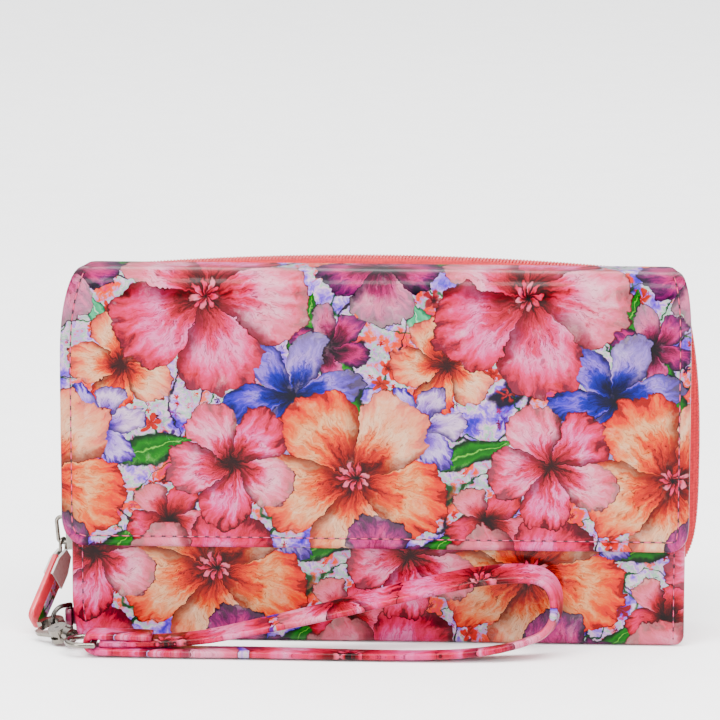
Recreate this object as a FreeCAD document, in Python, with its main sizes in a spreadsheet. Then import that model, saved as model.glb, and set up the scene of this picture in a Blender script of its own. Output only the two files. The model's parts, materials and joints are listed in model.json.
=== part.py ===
"""Wristlet wallet: flap organiser with a zip-around compartment, a wrist strap and its swivel clasp.

Frame: +X to the wallet's right, +Y to its back, +Z up; origin at the centre of the base's underside.
"""
import FreeCAD, Part
import math
import os
import re
import Sketcher

os.makedirs("parts", exist_ok=True)
doc = FreeCAD.newDocument("WristletWallet")
V = FreeCAD.Vector

# ---------------------------------------------------------------- driving dimensions, in mm and degrees
SIZES = {
    # covers and compartments
    "panel_width": 190,
    "panel_height": 115,
    "panel_corner": 12,
    "cover_thick": 2.4,
    "lining_thick": 0.6,
    "clearance": 0.3,
    "seam_margin": 2.6,
    "front_depth": 11.2,
    "zip_depth": 15.6,
    "base_bend": 3,
    "pocket_height": 72,
    "gusset_height": 66,
    "gusset_thick": 0.6,
    "gusset_fold": 3.2,
    # card slots
    "slot_width": 87,
    "slot_gap": 0.9,
    "slot_base": 40,
    "slot_top": 104,
    "slot_step": 8,
    "slot_seam": 0.5,
    # flap
    "flap_thick": 1.6,
    "flap_rise": 1.5,
    "flap_gap": 0.5,
    "flap_bend": 6.5,
    "flap_bottom": 31,
    "flap_corner": 9,
    "flap_flare": 3.5,
    "flap_flare_height": 45,
    "flap_hem": 3,
    # magnetic snap
    "snap_radius": 8.5,
    "snap_height": 49,
    "snap_thick": 1.6,
    "snap_boss": 3.5,
    "snap_boss_rise": 0.9,
    # zip round three sides
    "zip_half_width": 97,
    "zip_widest": 52,
    "zip_side_radius": 250,
    "zip_top": 118,
    "zip_top_radius": 900,
    "zip_corner": 16,
    "zip_foot": 21,
    "tape_margin": 10,
    "tape_thick": 0.7,
    "tape_seam": 0.8,
    "tape_gap": 3.2,
    "coil_thick": 2,
    "coil_width": 2.3,
    "coil_gap": 1.2,
    # slider and its bail
    "slider_length": 11.5,
    "slider_width": 8.5,
    "slider_plate": 0.8,
    "slider_web": 0.6,
    "slider_web_length": 4,
    "slider_lip": 0.8,
    "slider_height": 30,
    "bail_wire": 0.65,
    "bail_reach": 3,
    "bail_bend": 1.5,
    "bail_height": 8.4,
    # puller
    "pull_wire": 0.55,
    "pull_link_bend": 1.85,
    "pull_link_straight": 3.8,
    "pull_turn": 68,
    "pull_lean": 48,
    "pull_width": 8,
    "pull_thick": 2.6,
    "pull_length": 27.2,
    "pull_clamp_length": 8,
    "pull_clamp_wall": 0.4,
    # coin pocket between the covers of the zipped part
    "coin_half_width": 78,
    "coin_thick": 4.4,
    "coin_height": 100,
    "coin_seam": 1,
    "coin_zip_drop": 13,
    "coin_zip_half": 66,
    "coin_window": 8,
    "coin_tape": 16,
    "coin_tape_thick": 0.5,
    "coin_coil_thick": 1.3,
    "coin_coil_width": 2,
    "coin_slider_length": 9,
    "coin_pull_length": 14,
    # slip pocket on the back cover
    "slip_half_width": 80,
    "slip_height": 78,
    "slip_gap": 0.6,
    # D-ring and its tab
    "ring_wire": 0.75,
    "ring_half_height": 3.95,
    "ring_leg": 3,
    "ring_height": 6.2,
    "ring_out": 1.05,
    "ring_turn": 222,
    "tab_width": 5.6,
    "tab_leather": 0.9,
    # swivel clasp
    "claw_inner": 3.2,
    "claw_rim": 1.8,
    "claw_thick": 2.8,
    "claw_gap": 1.2,
    "claw_nose_angle": 200,
    "clasp_height": 4.2,
    "clasp_turn": -52.8,
    "clasp_roll": 20,
    "clasp_reach": 20.58,
    "stem_width": 5.2,
    "gate_pivot": 7.2,
    "gate_eye": 2.1,
    "gate_thick": 1.2,
    "gate_tip_angle": 244,
    "gate_root_angle": 308,
    "pin_radius": 0.7,
    "boss_radius": 3,
    "boss_thick": 4.6,
    "barrel_radius": 2.3,
    "barrel_length": 3.6,
    "post_radius": 0.95,
    "post_head": 1.5,
    "post_head_thick": 0.8,
    "post_show": 0.8,
    "eye_wire": 0.9,
    "eye_leg": 3.4,
    "fit_gap": 0.15,
    # wrist strap
    "strap_width": 8.6,
    "strap_thick": 2.3,
    "strap_tail": 18.7,
    "strap_lean": 24,
    "strap_line": -36,
}

sheet = doc.addObject("Spreadsheet::Sheet", "Sizes")
for row, (alias, value) in enumerate(SIZES.items(), start=1):
    sheet.set(f"A{row}", alias)
    sheet.set(f"B{row}", str(value))
    sheet.setAlias(f"B{row}", alias)
doc.recompute()


def bound(text):
    """The expression for a text that names sizes by their plain words."""
    return re.sub(r"[a-z][a-z_]+", lambda word: f"Sizes.{word[0]}" if word[0] in SIZES else word[0], str(text))


def number(text):
    """The value of such a text now."""
    return float(sheet.evalExpression(bound(text)))


# ---------------------------------------------------------------- places worked out from the sizes
FRONT_OUT = "(-(3 * cover_thick + front_depth + zip_depth) / 2)"
FRONT_IN = f"({FRONT_OUT} + cover_thick)"
MIDDLE_FRONT = f"({FRONT_IN} + front_depth)"
MIDDLE_BACK = f"({MIDDLE_FRONT} + cover_thick)"
BACK_IN = f"({MIDDLE_BACK} + zip_depth)"
BACK_OUT = f"({BACK_IN} + cover_thick)"
HALF = "(panel_width / 2)"
GUSSET_X = f"({HALF} - seam_margin - clearance)"
ZIP_Y = f"(({MIDDLE_BACK} + {BACK_IN}) / 2)"
FLAP_TOTAL = "(flap_thick + lining_thick)"
FLAP_IN = f"({FRONT_OUT} - flap_gap)"
FLAP_OUT = f"({FLAP_IN} - {FLAP_TOTAL})"
FLAP_HINGE_Y = f"({MIDDLE_BACK} - clearance - {FLAP_TOTAL} / 2)"
FLAP_HINGE_Z = f"(panel_height + flap_rise + {FLAP_TOTAL} / 2)"
BEND_Y = f"({FLAP_IN} - {FLAP_TOTAL} / 2 + flap_bend)"
BEND_Z = f"({FLAP_HINGE_Z} - flap_bend)"
FLAP_FOLD_Y = f"({BEND_Y} - 0.785 * flap_bend)"
FLAP_FOLD_Z = f"({FLAP_HINGE_Z} - 0.215 * flap_bend)"
FOLD_GAP = f"({FLAP_TOTAL} / 2 + clearance)"
COIN_FRONT = f"({ZIP_Y} - coin_thick / 2)"
COIN_BACK = f"({ZIP_Y} + coin_thick / 2)"
COIN_ZIP = "(coin_height - coin_zip_drop)"
COIN_HINGE_Z = "(cover_thick + clearance + coin_thick / 2)"
RING_X = f"(-({HALF} + ring_out))"
RING_Y = f"({FRONT_IN} + ring_wire + fit_gap + tab_leather)"
TAB_LOOP = "(ring_wire + fit_gap + tab_leather)"
CLAW_REACH = f"({TAB_LOOP} + claw_gap + claw_rim + claw_inner)"
CLAW_X = f"({RING_X} + {CLAW_REACH} * cos(ring_turn * 1deg))"
CLAW_Y = f"({RING_Y} + {CLAW_REACH} * sin(ring_turn * 1deg))"
LOOP_X = f"({CLAW_X} + clasp_reach * cos(clasp_turn * 1deg))"
LOOP_Y = f"({CLAW_Y} + clasp_reach * sin(clasp_turn * 1deg))"
LOOP_RADIUS = "(strap_width / 2 + eye_wire + fit_gap)"
BAR_X = f"({LOOP_X} + eye_leg)"
STRAP_PITCH = "(eye_wire + clearance + strap_thick / 2)"


# ---------------------------------------------------------------- features
def origin_plane(body, role):
    return next(feature for feature in body.Origin.OriginFeatures if feature.Role == role)


def new_body(label):
    body = doc.addObject("PartDesign::Body", label)
    body.Label = label
    return body


def new_sketch(body, name, role, level):
    """A sketch on an origin plane of its body, moved to the given level along the plane's axis."""
    sketch = body.newObject("Sketcher::SketchObject", name)
    sketch.AttachmentSupport = [(origin_plane(body, role), "")]
    sketch.MapMode = "FlatFace"
    sign = "-1" if role == "XZ_Plane" else "1"
    sketch.setExpression("AttachmentOffset.Base.z", bound(f"{sign} * ({level})"))
    return sketch


def place_point(sketch, index, position, point):
    """Tie a point of the sketch to its two coordinates, given as texts."""
    for kind, text in zip(("DistanceX", "DistanceY"), point):
        constraint = sketch.addConstraint(Sketcher.Constraint(kind, -1, 1, index, position, number(text)))
        sketch.setExpression(f"Constraints[{constraint}]", bound(text))


def tie(sketch, kind, index, text):
    constraint = sketch.addConstraint(Sketcher.Constraint(kind, index, number(text)))
    sketch.setExpression(f"Constraints[{constraint}]", bound(text))


def draw_polygon(sketch, points):
    values = [V(number(a), number(b), 0) for a, b in points]
    first = sketch.GeometryCount
    count = len(points)
    for i in range(count):
        sketch.addGeometry(Part.LineSegment(values[i], values[(i + 1) % count]), False)
    for i in range(count):
        sketch.addConstraint(Sketcher.Constraint("Coincident", first + i, 2, first + (i + 1) % count, 1))
    for i, point in enumerate(points):
        place_point(sketch, first + i, 1, point)


def draw_circle(sketch, centre, radius):
    middle = V(number(centre[0]), number(centre[1]), 0)
    index = sketch.addGeometry(Part.Circle(middle, V(0, 0, 1), number(radius)), False)
    place_point(sketch, index, 3, centre)
    tie(sketch, "Radius", index, radius)


def draw_sector(sketch, inner, outer, start, end):
    """A ring sector about the sketch's origin, between two angles in degrees."""
    angles = [math.radians(number(start)), math.radians(number(end))]
    arcs = []
    for radius in (outer, inner):
        circle = Part.Circle(V(0, 0, 0), V(0, 0, 1), number(radius))
        arcs.append(sketch.addGeometry(Part.ArcOfCircle(circle, *angles), False))
        sketch.addConstraint(Sketcher.Constraint("Coincident", arcs[-1], 3, -1, 1))
        tie(sketch, "Radius", arcs[-1], radius)
    for position, text in ((1, start), (2, end)):
        points = [sketch.getPoint(arc, position) for arc in arcs]
        line = sketch.addGeometry(Part.LineSegment(*points), False)
        sketch.addConstraint(Sketcher.Constraint("Coincident", line, 1, arcs[0], position))
        sketch.addConstraint(Sketcher.Constraint("Coincident", line, 2, arcs[1], position))
        sketch.addConstraint(Sketcher.Constraint("PointOnObject", -1, 1, line))
        axis = 0 if abs(points[0].y) > abs(points[0].x) else 1
        kind = ("DistanceX", "DistanceY")[axis]
        level = polar(outer, text)[axis]
        constraint = sketch.addConstraint(Sketcher.Constraint(kind, -1, 1, arcs[0], position, number(level)))
        sketch.setExpression(f"Constraints[{constraint}]", bound(level))


def polar(radius, angle):
    """A point at a radius and an angle in degrees, as texts."""
    return f"{radius} * cos({angle} * 1deg)", f"{radius} * sin({angle} * 1deg)"


def add(body, name, role, low, high, draw, *shapes):
    """Pad what draw makes of the shapes, from one level to another along the plane's axis."""
    sketch = new_sketch(body, f"{name}_outline", role, high if role == "XZ_Plane" else low)
    draw(sketch, *shapes)
    pad = body.newObject("PartDesign::Pad", name)
    pad.Profile = sketch
    pad.setExpression("Length", bound(f"({high}) - ({low})"))
    doc.recompute()
    return pad


def cut(body, name, role, low, high, draw, *shapes):
    """Pocket what draw makes of the shapes, from one level to another along the plane's axis."""
    sketch = new_sketch(body, f"{name}_outline", role, low if role == "XZ_Plane" else high)
    draw(sketch, *shapes)
    before = body.Shape.Volume
    pocket = body.newObject("PartDesign::Pocket", name)
    pocket.Profile = sketch
    pocket.setExpression("Length", bound(f"({high}) - ({low})"))
    doc.recompute()
    if body.Shape.Volume >= before:
        raise RuntimeError(f"{body.Label}: {name} cuts nothing")
    return pocket


def rectangle(low_a, high_a, low_b, high_b):
    return [(low_a, low_b), (high_a, low_b), (high_a, high_b), (low_a, high_b)]


def plate(label, x_low, x_high, z_low, z_high, y_low, y_high):
    """A flat rectangular sheet that faces the front."""
    body = new_body(label)
    add(body, f"{label}_pad", "XZ_Plane", y_low, y_high, draw_polygon, rectangle(x_low, x_high, z_low, z_high))
    return body


def round_edges(body, name, radius, chosen):
    """Fillet the straight edges whose midpoint and direction the test chooses."""
    base = body.Tip
    names = []
    for i, edge in enumerate(base.Shape.Edges, start=1):
        if edge.Curve.TypeId == "Part::GeomLine":
            middle = edge.valueAt((edge.FirstParameter + edge.LastParameter) / 2)
            if chosen(middle, edge.Curve.Direction):
                names.append(f"Edge{i}")
    fillet = body.newObject("PartDesign::Fillet", name)
    fillet.Base = (base, names)
    fillet.setExpression("Radius", bound(radius))
    doc.recompute()
    return fillet


def top_corners(z):
    """The test for the edges that run front to back at a level."""
    level = number(z)
    return lambda middle, direction: abs(direction.y) > 0.99 and abs(middle.z - level) < 0.01


def join(label, *pieces):
    """One solid of several primitives."""
    fuse = doc.addObject("Part::MultiFuse", label)
    fuse.Label = label
    fuse.Shapes = list(pieces)
    fuse.Refine = True
    doc.recompute()
    return fuse


def primitive(kind, name, at, axis=(0, 0, 1), turn=0, **sizes):
    """A Part primitive with bound sizes, at a place given as texts, turned about an axis."""
    piece = doc.addObject(f"Part::{kind}", name)
    for key, text in sizes.items():
        if isinstance(text, str):
            piece.setExpression(key, bound(text))
        else:
            setattr(piece, key, text)
    piece.Placement = FreeCAD.Placement(V(0, 0, 0), FreeCAD.Rotation(V(*axis), turn))
    for letter, text in zip("xyz", at):
        piece.setExpression(f"Placement.Base.{letter}", bound(text))
    return piece


ALONG_X = ((0, 1, 0), 90)
ALONG_Y = ((1, 0, 0), -90)
UPRIGHT_LOOP = ((1, 1, 1), 240)      # turns the half ring of a torus into the XZ plane, round part at +X


# ---------------------------------------------------------------- the zip's path
def zip_arcs(offset, foot_right, foot_left):
    """Centre, radius and end angles of the five arcs of the zip's path, from its right foot over the top."""
    half, widest = number("zip_half_width"), number("zip_widest")
    side, top, corner = number("zip_side_radius"), number("zip_top_radius"), number("zip_corner")
    side_centre = V(half - side, widest, 0)
    top_centre = V(0, number("zip_top") - top, 0)
    across = top_centre - side_centre
    span = across.Length
    along = ((side - corner) ** 2 - (top - corner) ** 2 + span**2) / (2 * span)
    height = math.sqrt((side - corner) ** 2 - along**2)
    unit = across / span
    corner_centre = side_centre + unit * along + V(-unit.y, unit.x, 0) * height
    first = math.atan2(corner_centre.y - side_centre.y, corner_centre.x - side_centre.x)
    second = math.atan2(corner_centre.y - top_centre.y, corner_centre.x - top_centre.x)
    start = math.asin((number(foot_right) - widest) / (side + offset))
    end = math.asin((number(foot_left) - widest) / (side + offset))
    flip = lambda point: V(-point.x, point.y, 0)
    return [
        (side_centre, side + offset, start, first),
        (corner_centre, corner + offset, first, second),
        (top_centre, top + offset, second, math.pi - second),
        (flip(corner_centre), corner + offset, math.pi - second, math.pi - first),
        (flip(side_centre), side + offset, math.pi - first, math.pi - end),
    ]


def draw_zip_band(sketch, inner, outer, foot_right, foot_left):
    """A band along the zip's path between two offsets from it."""
    side_x = "zip_half_width - zip_side_radius"
    centres = {0: (side_x, "zip_widest"), 2: ("0", "zip_top - zip_top_radius"), 4: (f"-({side_x})", "zip_widest")}
    radii = ["zip_side_radius", "zip_corner", "zip_top_radius", "zip_corner", "zip_side_radius"]
    chains = []
    for offset in (outer, inner):
        chain = []
        for centre, radius, start, end in zip_arcs(number(offset), foot_right, foot_left):
            arc = Part.ArcOfCircle(Part.Circle(centre, V(0, 0, 1), radius), start, end)
            chain.append(sketch.addGeometry(arc, False))
        for before, after in zip(chain, chain[1:]):
            sketch.addConstraint(Sketcher.Constraint("Tangent", before, 2, after, 1))
        for i, arc in enumerate(chain):
            if i in centres:
                place_point(sketch, arc, 3, centres[i])
            tie(sketch, "Radius", arc, f"{radii[i]} + ({offset})")
        for arc, position, foot in ((chain[0], 1, foot_right), (chain[4], 2, foot_left)):
            level = sketch.addConstraint(Sketcher.Constraint("DistanceY", -1, 1, arc, position, number(foot)))
            sketch.setExpression(f"Constraints[{level}]", bound(foot))
        chains.append(chain)
    for arc, position in ((0, 1), (4, 2)):
        ends = [sketch.getPoint(chain[arc], position) for chain in chains]
        line = sketch.addGeometry(Part.LineSegment(*ends), False)
        for k, chain in enumerate(chains, start=1):
            sketch.addConstraint(Sketcher.Constraint("Coincident", line, k, chain[arc], position))


# ---------------------------------------------------------------- front pocket and middle panel
def front_pocket_panel():
    body = new_body("front_pocket_panel")
    base_end = f"{BACK_IN} - clearance"
    profile = [
        (base_end, "0"), (FRONT_OUT, "0"), (FRONT_OUT, "pocket_height"),
        (FRONT_IN, "pocket_height"), (FRONT_IN, "cover_thick"), (base_end, "cover_thick"),
    ]
    add(body, "bent_sheet", "YZ_Plane", f"-{HALF}", HALF, draw_polygon, profile)
    front = number(FRONT_OUT)
    round_edges(body, "base_round", "base_bend",
                lambda middle, way: abs(way.x) > 0.99 and abs(middle.y - front) < 0.01 and middle.z < 0.01)
    cut(body, "snap_seat", "XZ_Plane", FRONT_OUT, f"{FRONT_OUT} + snap_thick",
        draw_circle, ("0", "snap_height"), "snap_radius")
    return body


def front_pocket_lining():
    half = f"({GUSSET_X} - 2.5 * gusset_thick)"
    return plate("front_pocket_lining", f"-{half}", half, "cover_thick", "pocket_height - 1",
                 FRONT_IN, f"{FRONT_IN} + lining_thick")


def cover(label, y_low, y_high, z_low):
    """A stiffened cover panel with round top corners."""
    body = plate(label, f"-{HALF}", HALF, z_low, "panel_height", y_low, y_high)
    round_edges(body, f"{label}_corners", "panel_corner", top_corners("panel_height"))
    return body


def middle_panel():
    return cover("middle_panel", MIDDLE_FRONT, MIDDLE_BACK, "cover_thick")


def pleat(label, sign, ends, tip, z_low, z_high):
    """A folded gusset strip: from one end, in to its fold and, if it has two ends, back out."""
    body = new_body(label)
    skin = "1.4 * gusset_thick"
    fold = f"{GUSSET_X} - gusset_fold"
    outer = [(GUSSET_X, ends[0]), (fold, tip)] + [(GUSSET_X, end) for end in ends[1:]]
    inner = [(f"{x} - {skin}", y) for x, y in reversed(outer)]
    points = [(f"{sign} * ({x})", y) for x, y in outer + inner]
    add(body, f"{label}_pad", "XY_Plane", z_low, z_high, draw_polygon, points)
    return body


def front_gussets():
    middle = f"({FRONT_IN} + {MIDDLE_FRONT}) / 2"
    return [pleat(f"front_gusset_{side}", sign, (FRONT_IN, MIDDLE_FRONT), middle, "cover_thick", "gusset_height")
            for side, sign in (("left", -1), ("right", 1))]


def card_slots():
    """Two columns of three stepped card slots, each a sheet with a sewn rim that stands on the one behind."""
    slots = []
    pitch = "(slot_gap + lining_thick)"
    for column, sign in (("left", -1), ("right", 1)):
        for tier in range(3):
            label = f"card_slot_{column}_{tier + 1}"
            back = f"({MIDDLE_FRONT} - {tier} * {pitch})"
            edges = sorted((f"{sign} * slot_seam", f"{sign} * (slot_seam + slot_width)"), key=number)
            top = f"(slot_top - {tier} * slot_step)"
            body = plate(label, *edges, "slot_base", top, f"{back} - {pitch}", back)
            room = rectangle(f"{edges[0]} + slot_seam", f"{edges[1]} - slot_seam", "slot_base + slot_seam", top)
            cut(body, f"{label}_room", "XZ_Plane", f"{back} - slot_gap", back, draw_polygon, room)
            slots.append(body)
    return slots


def snap_socket():
    body = new_body("snap_socket")
    centre = ("0", "snap_height")
    add(body, "socket_disc", "XZ_Plane", FRONT_OUT, f"{FRONT_OUT} + snap_thick", draw_circle, centre, "snap_radius")
    cut(body, "socket_well", "XZ_Plane", FRONT_OUT, f"{FRONT_OUT} + snap_boss_rise",
        draw_circle, centre, "snap_boss + clearance")
    return body


# ---------------------------------------------------------------- flap
def flap_top_strip():
    """The flap's strip over the top, from its fold above the middle panel to its fold at the front."""
    body = new_body("flap_top_strip")
    half = f"{HALF} - flap_hem"
    low, high = f"{FLAP_HINGE_Z} - {FLAP_TOTAL} / 2", f"{FLAP_HINGE_Z} + {FLAP_TOTAL} / 2"
    front = f"{FLAP_FOLD_Y} + {FOLD_GAP}"
    add(body, "strip", "YZ_Plane", f"-({half})", half, draw_polygon, rectangle(front, FLAP_HINGE_Y, low, high))
    add(body, "strip_fold", "YZ_Plane", f"-({half})", half,
        draw_circle, (FLAP_HINGE_Y, FLAP_HINGE_Z), f"{FLAP_TOTAL} / 2")
    return body


def flap_outline(inset, bottom, top):
    """Half widths step out to the flare below the flap's upper part."""
    upper, lower = f"({HALF} - {inset})", f"({HALF} + flap_flare - {inset})"
    right = [(lower, bottom), (lower, "flap_flare_height"), (upper, top)]
    return right + [(f"-{x}", z) for x, z in reversed(right)]


def flap_panel():
    body = new_body("flap_panel")
    add(body, "hanging", "XZ_Plane", FLAP_OUT, f"{FLAP_OUT} + flap_thick",
        draw_polygon, flap_outline("0", "flap_bottom", BEND_Z))
    round_edges(body, "flap_corners", "flap_corner", top_corners("flap_bottom"))
    half_thick = f"{FLAP_TOTAL} / 2"
    shoulder = [
        (FLAP_OUT, f"{BEND_Z} - flap_bend"), (f"{FLAP_OUT} + flap_thick", f"{BEND_Z} - flap_bend"),
        (f"{FLAP_OUT} + flap_thick", f"{BEND_Z} + 1"), (f"{FLAP_FOLD_Y} + {half_thick}", FLAP_FOLD_Z),
        (f"{FLAP_FOLD_Y} - {half_thick}", FLAP_FOLD_Z), (FLAP_OUT, BEND_Z),
    ]
    half = f"{HALF} - flap_hem"
    add(body, "shoulder", "YZ_Plane", f"-({half})", half, draw_polygon, shoulder)
    add(body, "fold", "YZ_Plane", f"-({half})", half, draw_circle, (FLAP_FOLD_Y, FLAP_FOLD_Z), half_thick)
    return body


def flap_lining():
    body = new_body("flap_lining")
    add(body, "lining", "XZ_Plane", f"{FLAP_OUT} + flap_thick", FLAP_IN,
        draw_polygon, flap_outline("flap_hem", "flap_bottom + flap_hem", f"{BEND_Z} - flap_bend"))
    cut(body, "stud_hole", "XZ_Plane", f"{FLAP_OUT} + flap_thick", FLAP_IN,
        draw_circle, ("0", "snap_height"), "snap_radius")
    return body


def snap_stud():
    """Its boss reaches into the socket's well."""
    body = new_body("snap_stud")
    centre = ("0", "snap_height")
    back = f"{FLAP_OUT} + flap_thick"
    add(body, "stud_disc", "XZ_Plane", back, FLAP_IN, draw_circle, centre, "snap_radius")
    add(body, "stud_boss", "XZ_Plane", back, f"{FRONT_OUT} + snap_boss_rise - clearance",
        draw_circle, centre, "snap_boss")
    return body


# ---------------------------------------------------------------- zip
def zip_side(which, seam, direction):
    """Tape and coil of one side of the zip. direction is +1 where the side lies in front of the zip's middle."""
    feet = ("zip_foot", "zip_foot")
    tape = new_body(f"zip_tape_{which}")
    inside = f"{seam} + {direction} * tape_seam"
    edge = f"{ZIP_Y} - {direction} * tape_gap / 2"
    levels = lambda a, b: sorted((a, b), key=number)
    add(tape, "tape_seam_ring", "XZ_Plane", *levels(seam, inside), draw_zip_band, "-tape_margin", "0", *feet)
    add(tape, "tape_band", "XZ_Plane", *levels(inside, edge), draw_zip_band, "-tape_thick", "0", *feet)
    coil = new_body(f"zip_coil_{which}")
    near = f"{ZIP_Y} - {direction} * coil_gap / 2"
    far = f"{ZIP_Y} - {direction} * (coil_gap / 2 + coil_width)"
    left_foot = "zip_foot + 1" if direction > 0 else "slider_height + slider_length / 2 + 1"
    add(coil, "coil_band", "XZ_Plane", *levels(near, far), draw_zip_band, "0", "coil_thick", "zip_foot + 1", left_foot)
    return [tape, coil]


def slider_angle():
    """How far the slider sits below the widest point of the zip's left side, in degrees."""
    return "asin((slider_height - zip_widest) / zip_side_radius)"


def at_slider(piece):
    """Turn a piece made at the zip's widest point about the centre of its left side, down to the slider's place."""
    centre = "create(<<vector>>; zip_side_radius - zip_half_width; 0; zip_widest)"
    turn = f"create(<<rotation>>; create(<<vector>>; 0; 1; 0); {slider_angle()})"
    piece.setExpression("Placement", bound(f"create(<<placement>>; create(<<vector>>; 0; 0; 0); {turn}; {centre})"))
    doc.recompute()
    return piece


SLIDER_OUT = "(zip_half_width + coil_thick + clearance + slider_plate)"


def zip_slider():
    body = new_body("zip_slider")
    low, high = "zip_widest - slider_length / 2", "zip_widest + slider_length / 2"
    near, far = f"{ZIP_Y} - slider_width / 2", f"{ZIP_Y} + slider_width / 2"
    inner = "zip_half_width - tape_thick - clearance"
    deep = f"{inner} - slider_plate"
    web = (f"{ZIP_Y} - slider_web / 2", f"{ZIP_Y} + slider_web / 2")
    add(body, "web", "YZ_Plane", f"-{SLIDER_OUT}", f"-({deep})",
        draw_polygon, rectangle(*web, low, f"{low} + slider_web_length"))
    add(body, "outer_plate", "YZ_Plane", f"-{SLIDER_OUT}", f"-({SLIDER_OUT} - slider_plate)",
        draw_polygon, rectangle(near, far, low, high))
    add(body, "inner_plate", "YZ_Plane", f"-({inner})", f"-({deep})",
        draw_polygon, rectangle(near, far, low, high))
    for name, edge, step in (("front_lip", near, 1), ("back_lip", far, -1)):
        width = sorted((edge, f"{edge} + {step} * slider_lip"), key=number)
        add(body, name, "YZ_Plane", f"-({SLIDER_OUT} - slider_plate)", "-(zip_half_width + clearance)",
            draw_polygon, rectangle(*width, low, high))
    return at_slider(body)


def zip_bail():
    """A wire arch on the slider's outer face: two bends and a straight leg."""
    leg_x = f"-({SLIDER_OUT} + bail_reach)"
    bend_x = f"-({SLIDER_OUT} + bail_reach - bail_bend)"
    rise = "(bail_height / 2 - bail_bend)"
    foot = "(bail_reach - bail_bend)"
    pieces = [primitive("Cylinder", "bail_leg", (leg_x, ZIP_Y, f"zip_widest - {rise}"),
                        Radius="bail_wire", Height=f"2 * {rise}")]
    for name, sign, turn in (("upper", 1, 90), ("lower", -1, 180)):
        pieces.append(primitive("Torus", f"bail_{name}_bend", (bend_x, ZIP_Y, f"zip_widest + {sign} * {rise}"),
                                axis=(1, 0, 0), turn=90, Radius1="bail_bend", Radius2="bail_wire", Angle3=90))
        pieces[-1].Placement.Rotation = FreeCAD.Rotation(V(1, 0, 0), 90).multiply(
            FreeCAD.Rotation(V(0, 0, 1), turn))
        pieces.append(primitive("Cylinder", f"bail_{name}_foot",
                                (f"-{SLIDER_OUT}", ZIP_Y, f"zip_widest + {sign} * bail_height / 2"),
                                axis=(0, 1, 0), turn=-90, Radius="bail_wire", Height=foot))
    return at_slider(join("zip_bail", *pieces))


# ---------------------------------------------------------------- puller
LINK_LOW = "(-(pull_link_straight + pull_link_bend))"


def hang(piece, drop, lean):
    """Hang a piece under the bail's lower bend, turned about the vertical, then leaning forward."""
    angle = slider_angle()
    out = f"(zip_side_radius - zip_half_width + {SLIDER_OUT} + bail_reach - bail_bend)"
    down = "(bail_height / 2 - bail_wire - pull_wire - 0.1)"
    x = f"(zip_side_radius - zip_half_width - {out} * cos({angle}) - {down} * sin({angle}))"
    z = f"(zip_widest + {out} * sin({angle}) - {down} * cos({angle}) + {drop})"
    spin = "create(<<rotation>>; create(<<vector>>; 0; 0; 1); pull_turn)"
    tip = f"create(<<rotation>>; create(<<vector>>; 0; 1; 0); {lean})"
    piece.setExpression("Placement", bound(
        f"create(<<placement>>; create(<<vector>>; {x}; {ZIP_Y}; {z}); {spin} * {tip})"))
    doc.recompute()
    return piece


def pull_link():
    """A long wire link, made with the wire of its top bend on the origin."""
    pieces = []
    for side, sign in (("front", 1), ("back", -1)):
        pieces.append(primitive("Cylinder", f"link_{side}", (f"{sign} * pull_link_bend", "0", LINK_LOW),
                                Radius="pull_wire", Height="pull_link_straight"))
    for name, level, turn in (("top", "-pull_link_bend", 0), ("bottom", LINK_LOW, 180)):
        pieces.append(primitive("Torus", f"link_{name}", ("0", "0", level),
                                Radius1="pull_link_bend", Radius2="pull_wire", Angle3=180))
        pieces[-1].Placement.Rotation = FreeCAD.Rotation(V(1, 0, 0), 90).multiply(
            FreeCAD.Rotation(V(0, 0, 1), turn))
    return hang(join("pull_link", *pieces), "0", "0")


# The clamp and the tab are made with the centre of the link's lower bend on the origin.
CLAMP_LOW = "(-(pull_link_bend + pull_clamp_length))"
TAB_TOP = "(-(pull_link_bend + 1.6))"


def pull_clamp():
    """A metal fork that a rivet closes inside the link, and its sleeve for the tab's top."""
    body = new_body("pull_clamp")
    half, thick = "(pull_width / 2 + pull_clamp_wall)", "(pull_thick / 2 + pull_clamp_wall)"
    rivet = "(pull_link_bend - pull_wire - fit_gap)"
    gap = "(pull_wire + fit_gap)"
    outline = [
        (f"-{half}", CLAMP_LOW), (half, CLAMP_LOW), (half, "-4"),
        (f"{rivet} + 1", rivet), (f"-({rivet} + 1)", rivet), (f"-{half}", "-4"),
    ]
    add(body, "sleeve", "XZ_Plane", f"-{thick}", thick, draw_polygon, outline)
    cut(body, "tab_room", "XY_Plane", CLAMP_LOW, TAB_TOP, draw_polygon,
        rectangle("-pull_width / 2", "pull_width / 2", "-pull_thick / 2", "pull_thick / 2"))
    cut(body, "link_slot", "XZ_Plane", f"-{gap}", gap, draw_polygon, rectangle(f"-{half}", half, "-2.4", rivet))
    cut(body, "link_way", "XZ_Plane", f"-{gap}", gap, draw_circle, ("0", "0"), f"pull_link_bend + {gap}")
    add(body, "rivet", "XZ_Plane", f"-{thick}", thick, draw_circle, ("0", "0"), rivet)
    return hang(body, LINK_LOW, "pull_lean")


def pull_tab():
    body = plate("pull_tab", "-pull_width / 2", "pull_width / 2", "-pull_length", TAB_TOP,
                 "-pull_thick / 2", "pull_thick / 2")
    round_edges(body, "tab_corners", "pull_width / 4", top_corners("-pull_length"))
    return hang(body, LINK_LOW, "pull_lean")


# ---------------------------------------------------------------- back cover and coin pocket
def back_panel():
    hinge_y, hinge_z = f"{BACK_IN} + cover_thick / 2", "cover_thick / 2"
    body = cover("back_panel", BACK_IN, BACK_OUT, hinge_z)
    add(body, "bottom_fold", "YZ_Plane", f"-{HALF}", HALF, draw_circle, (hinge_y, hinge_z), "cover_thick / 2")
    return body


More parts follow.
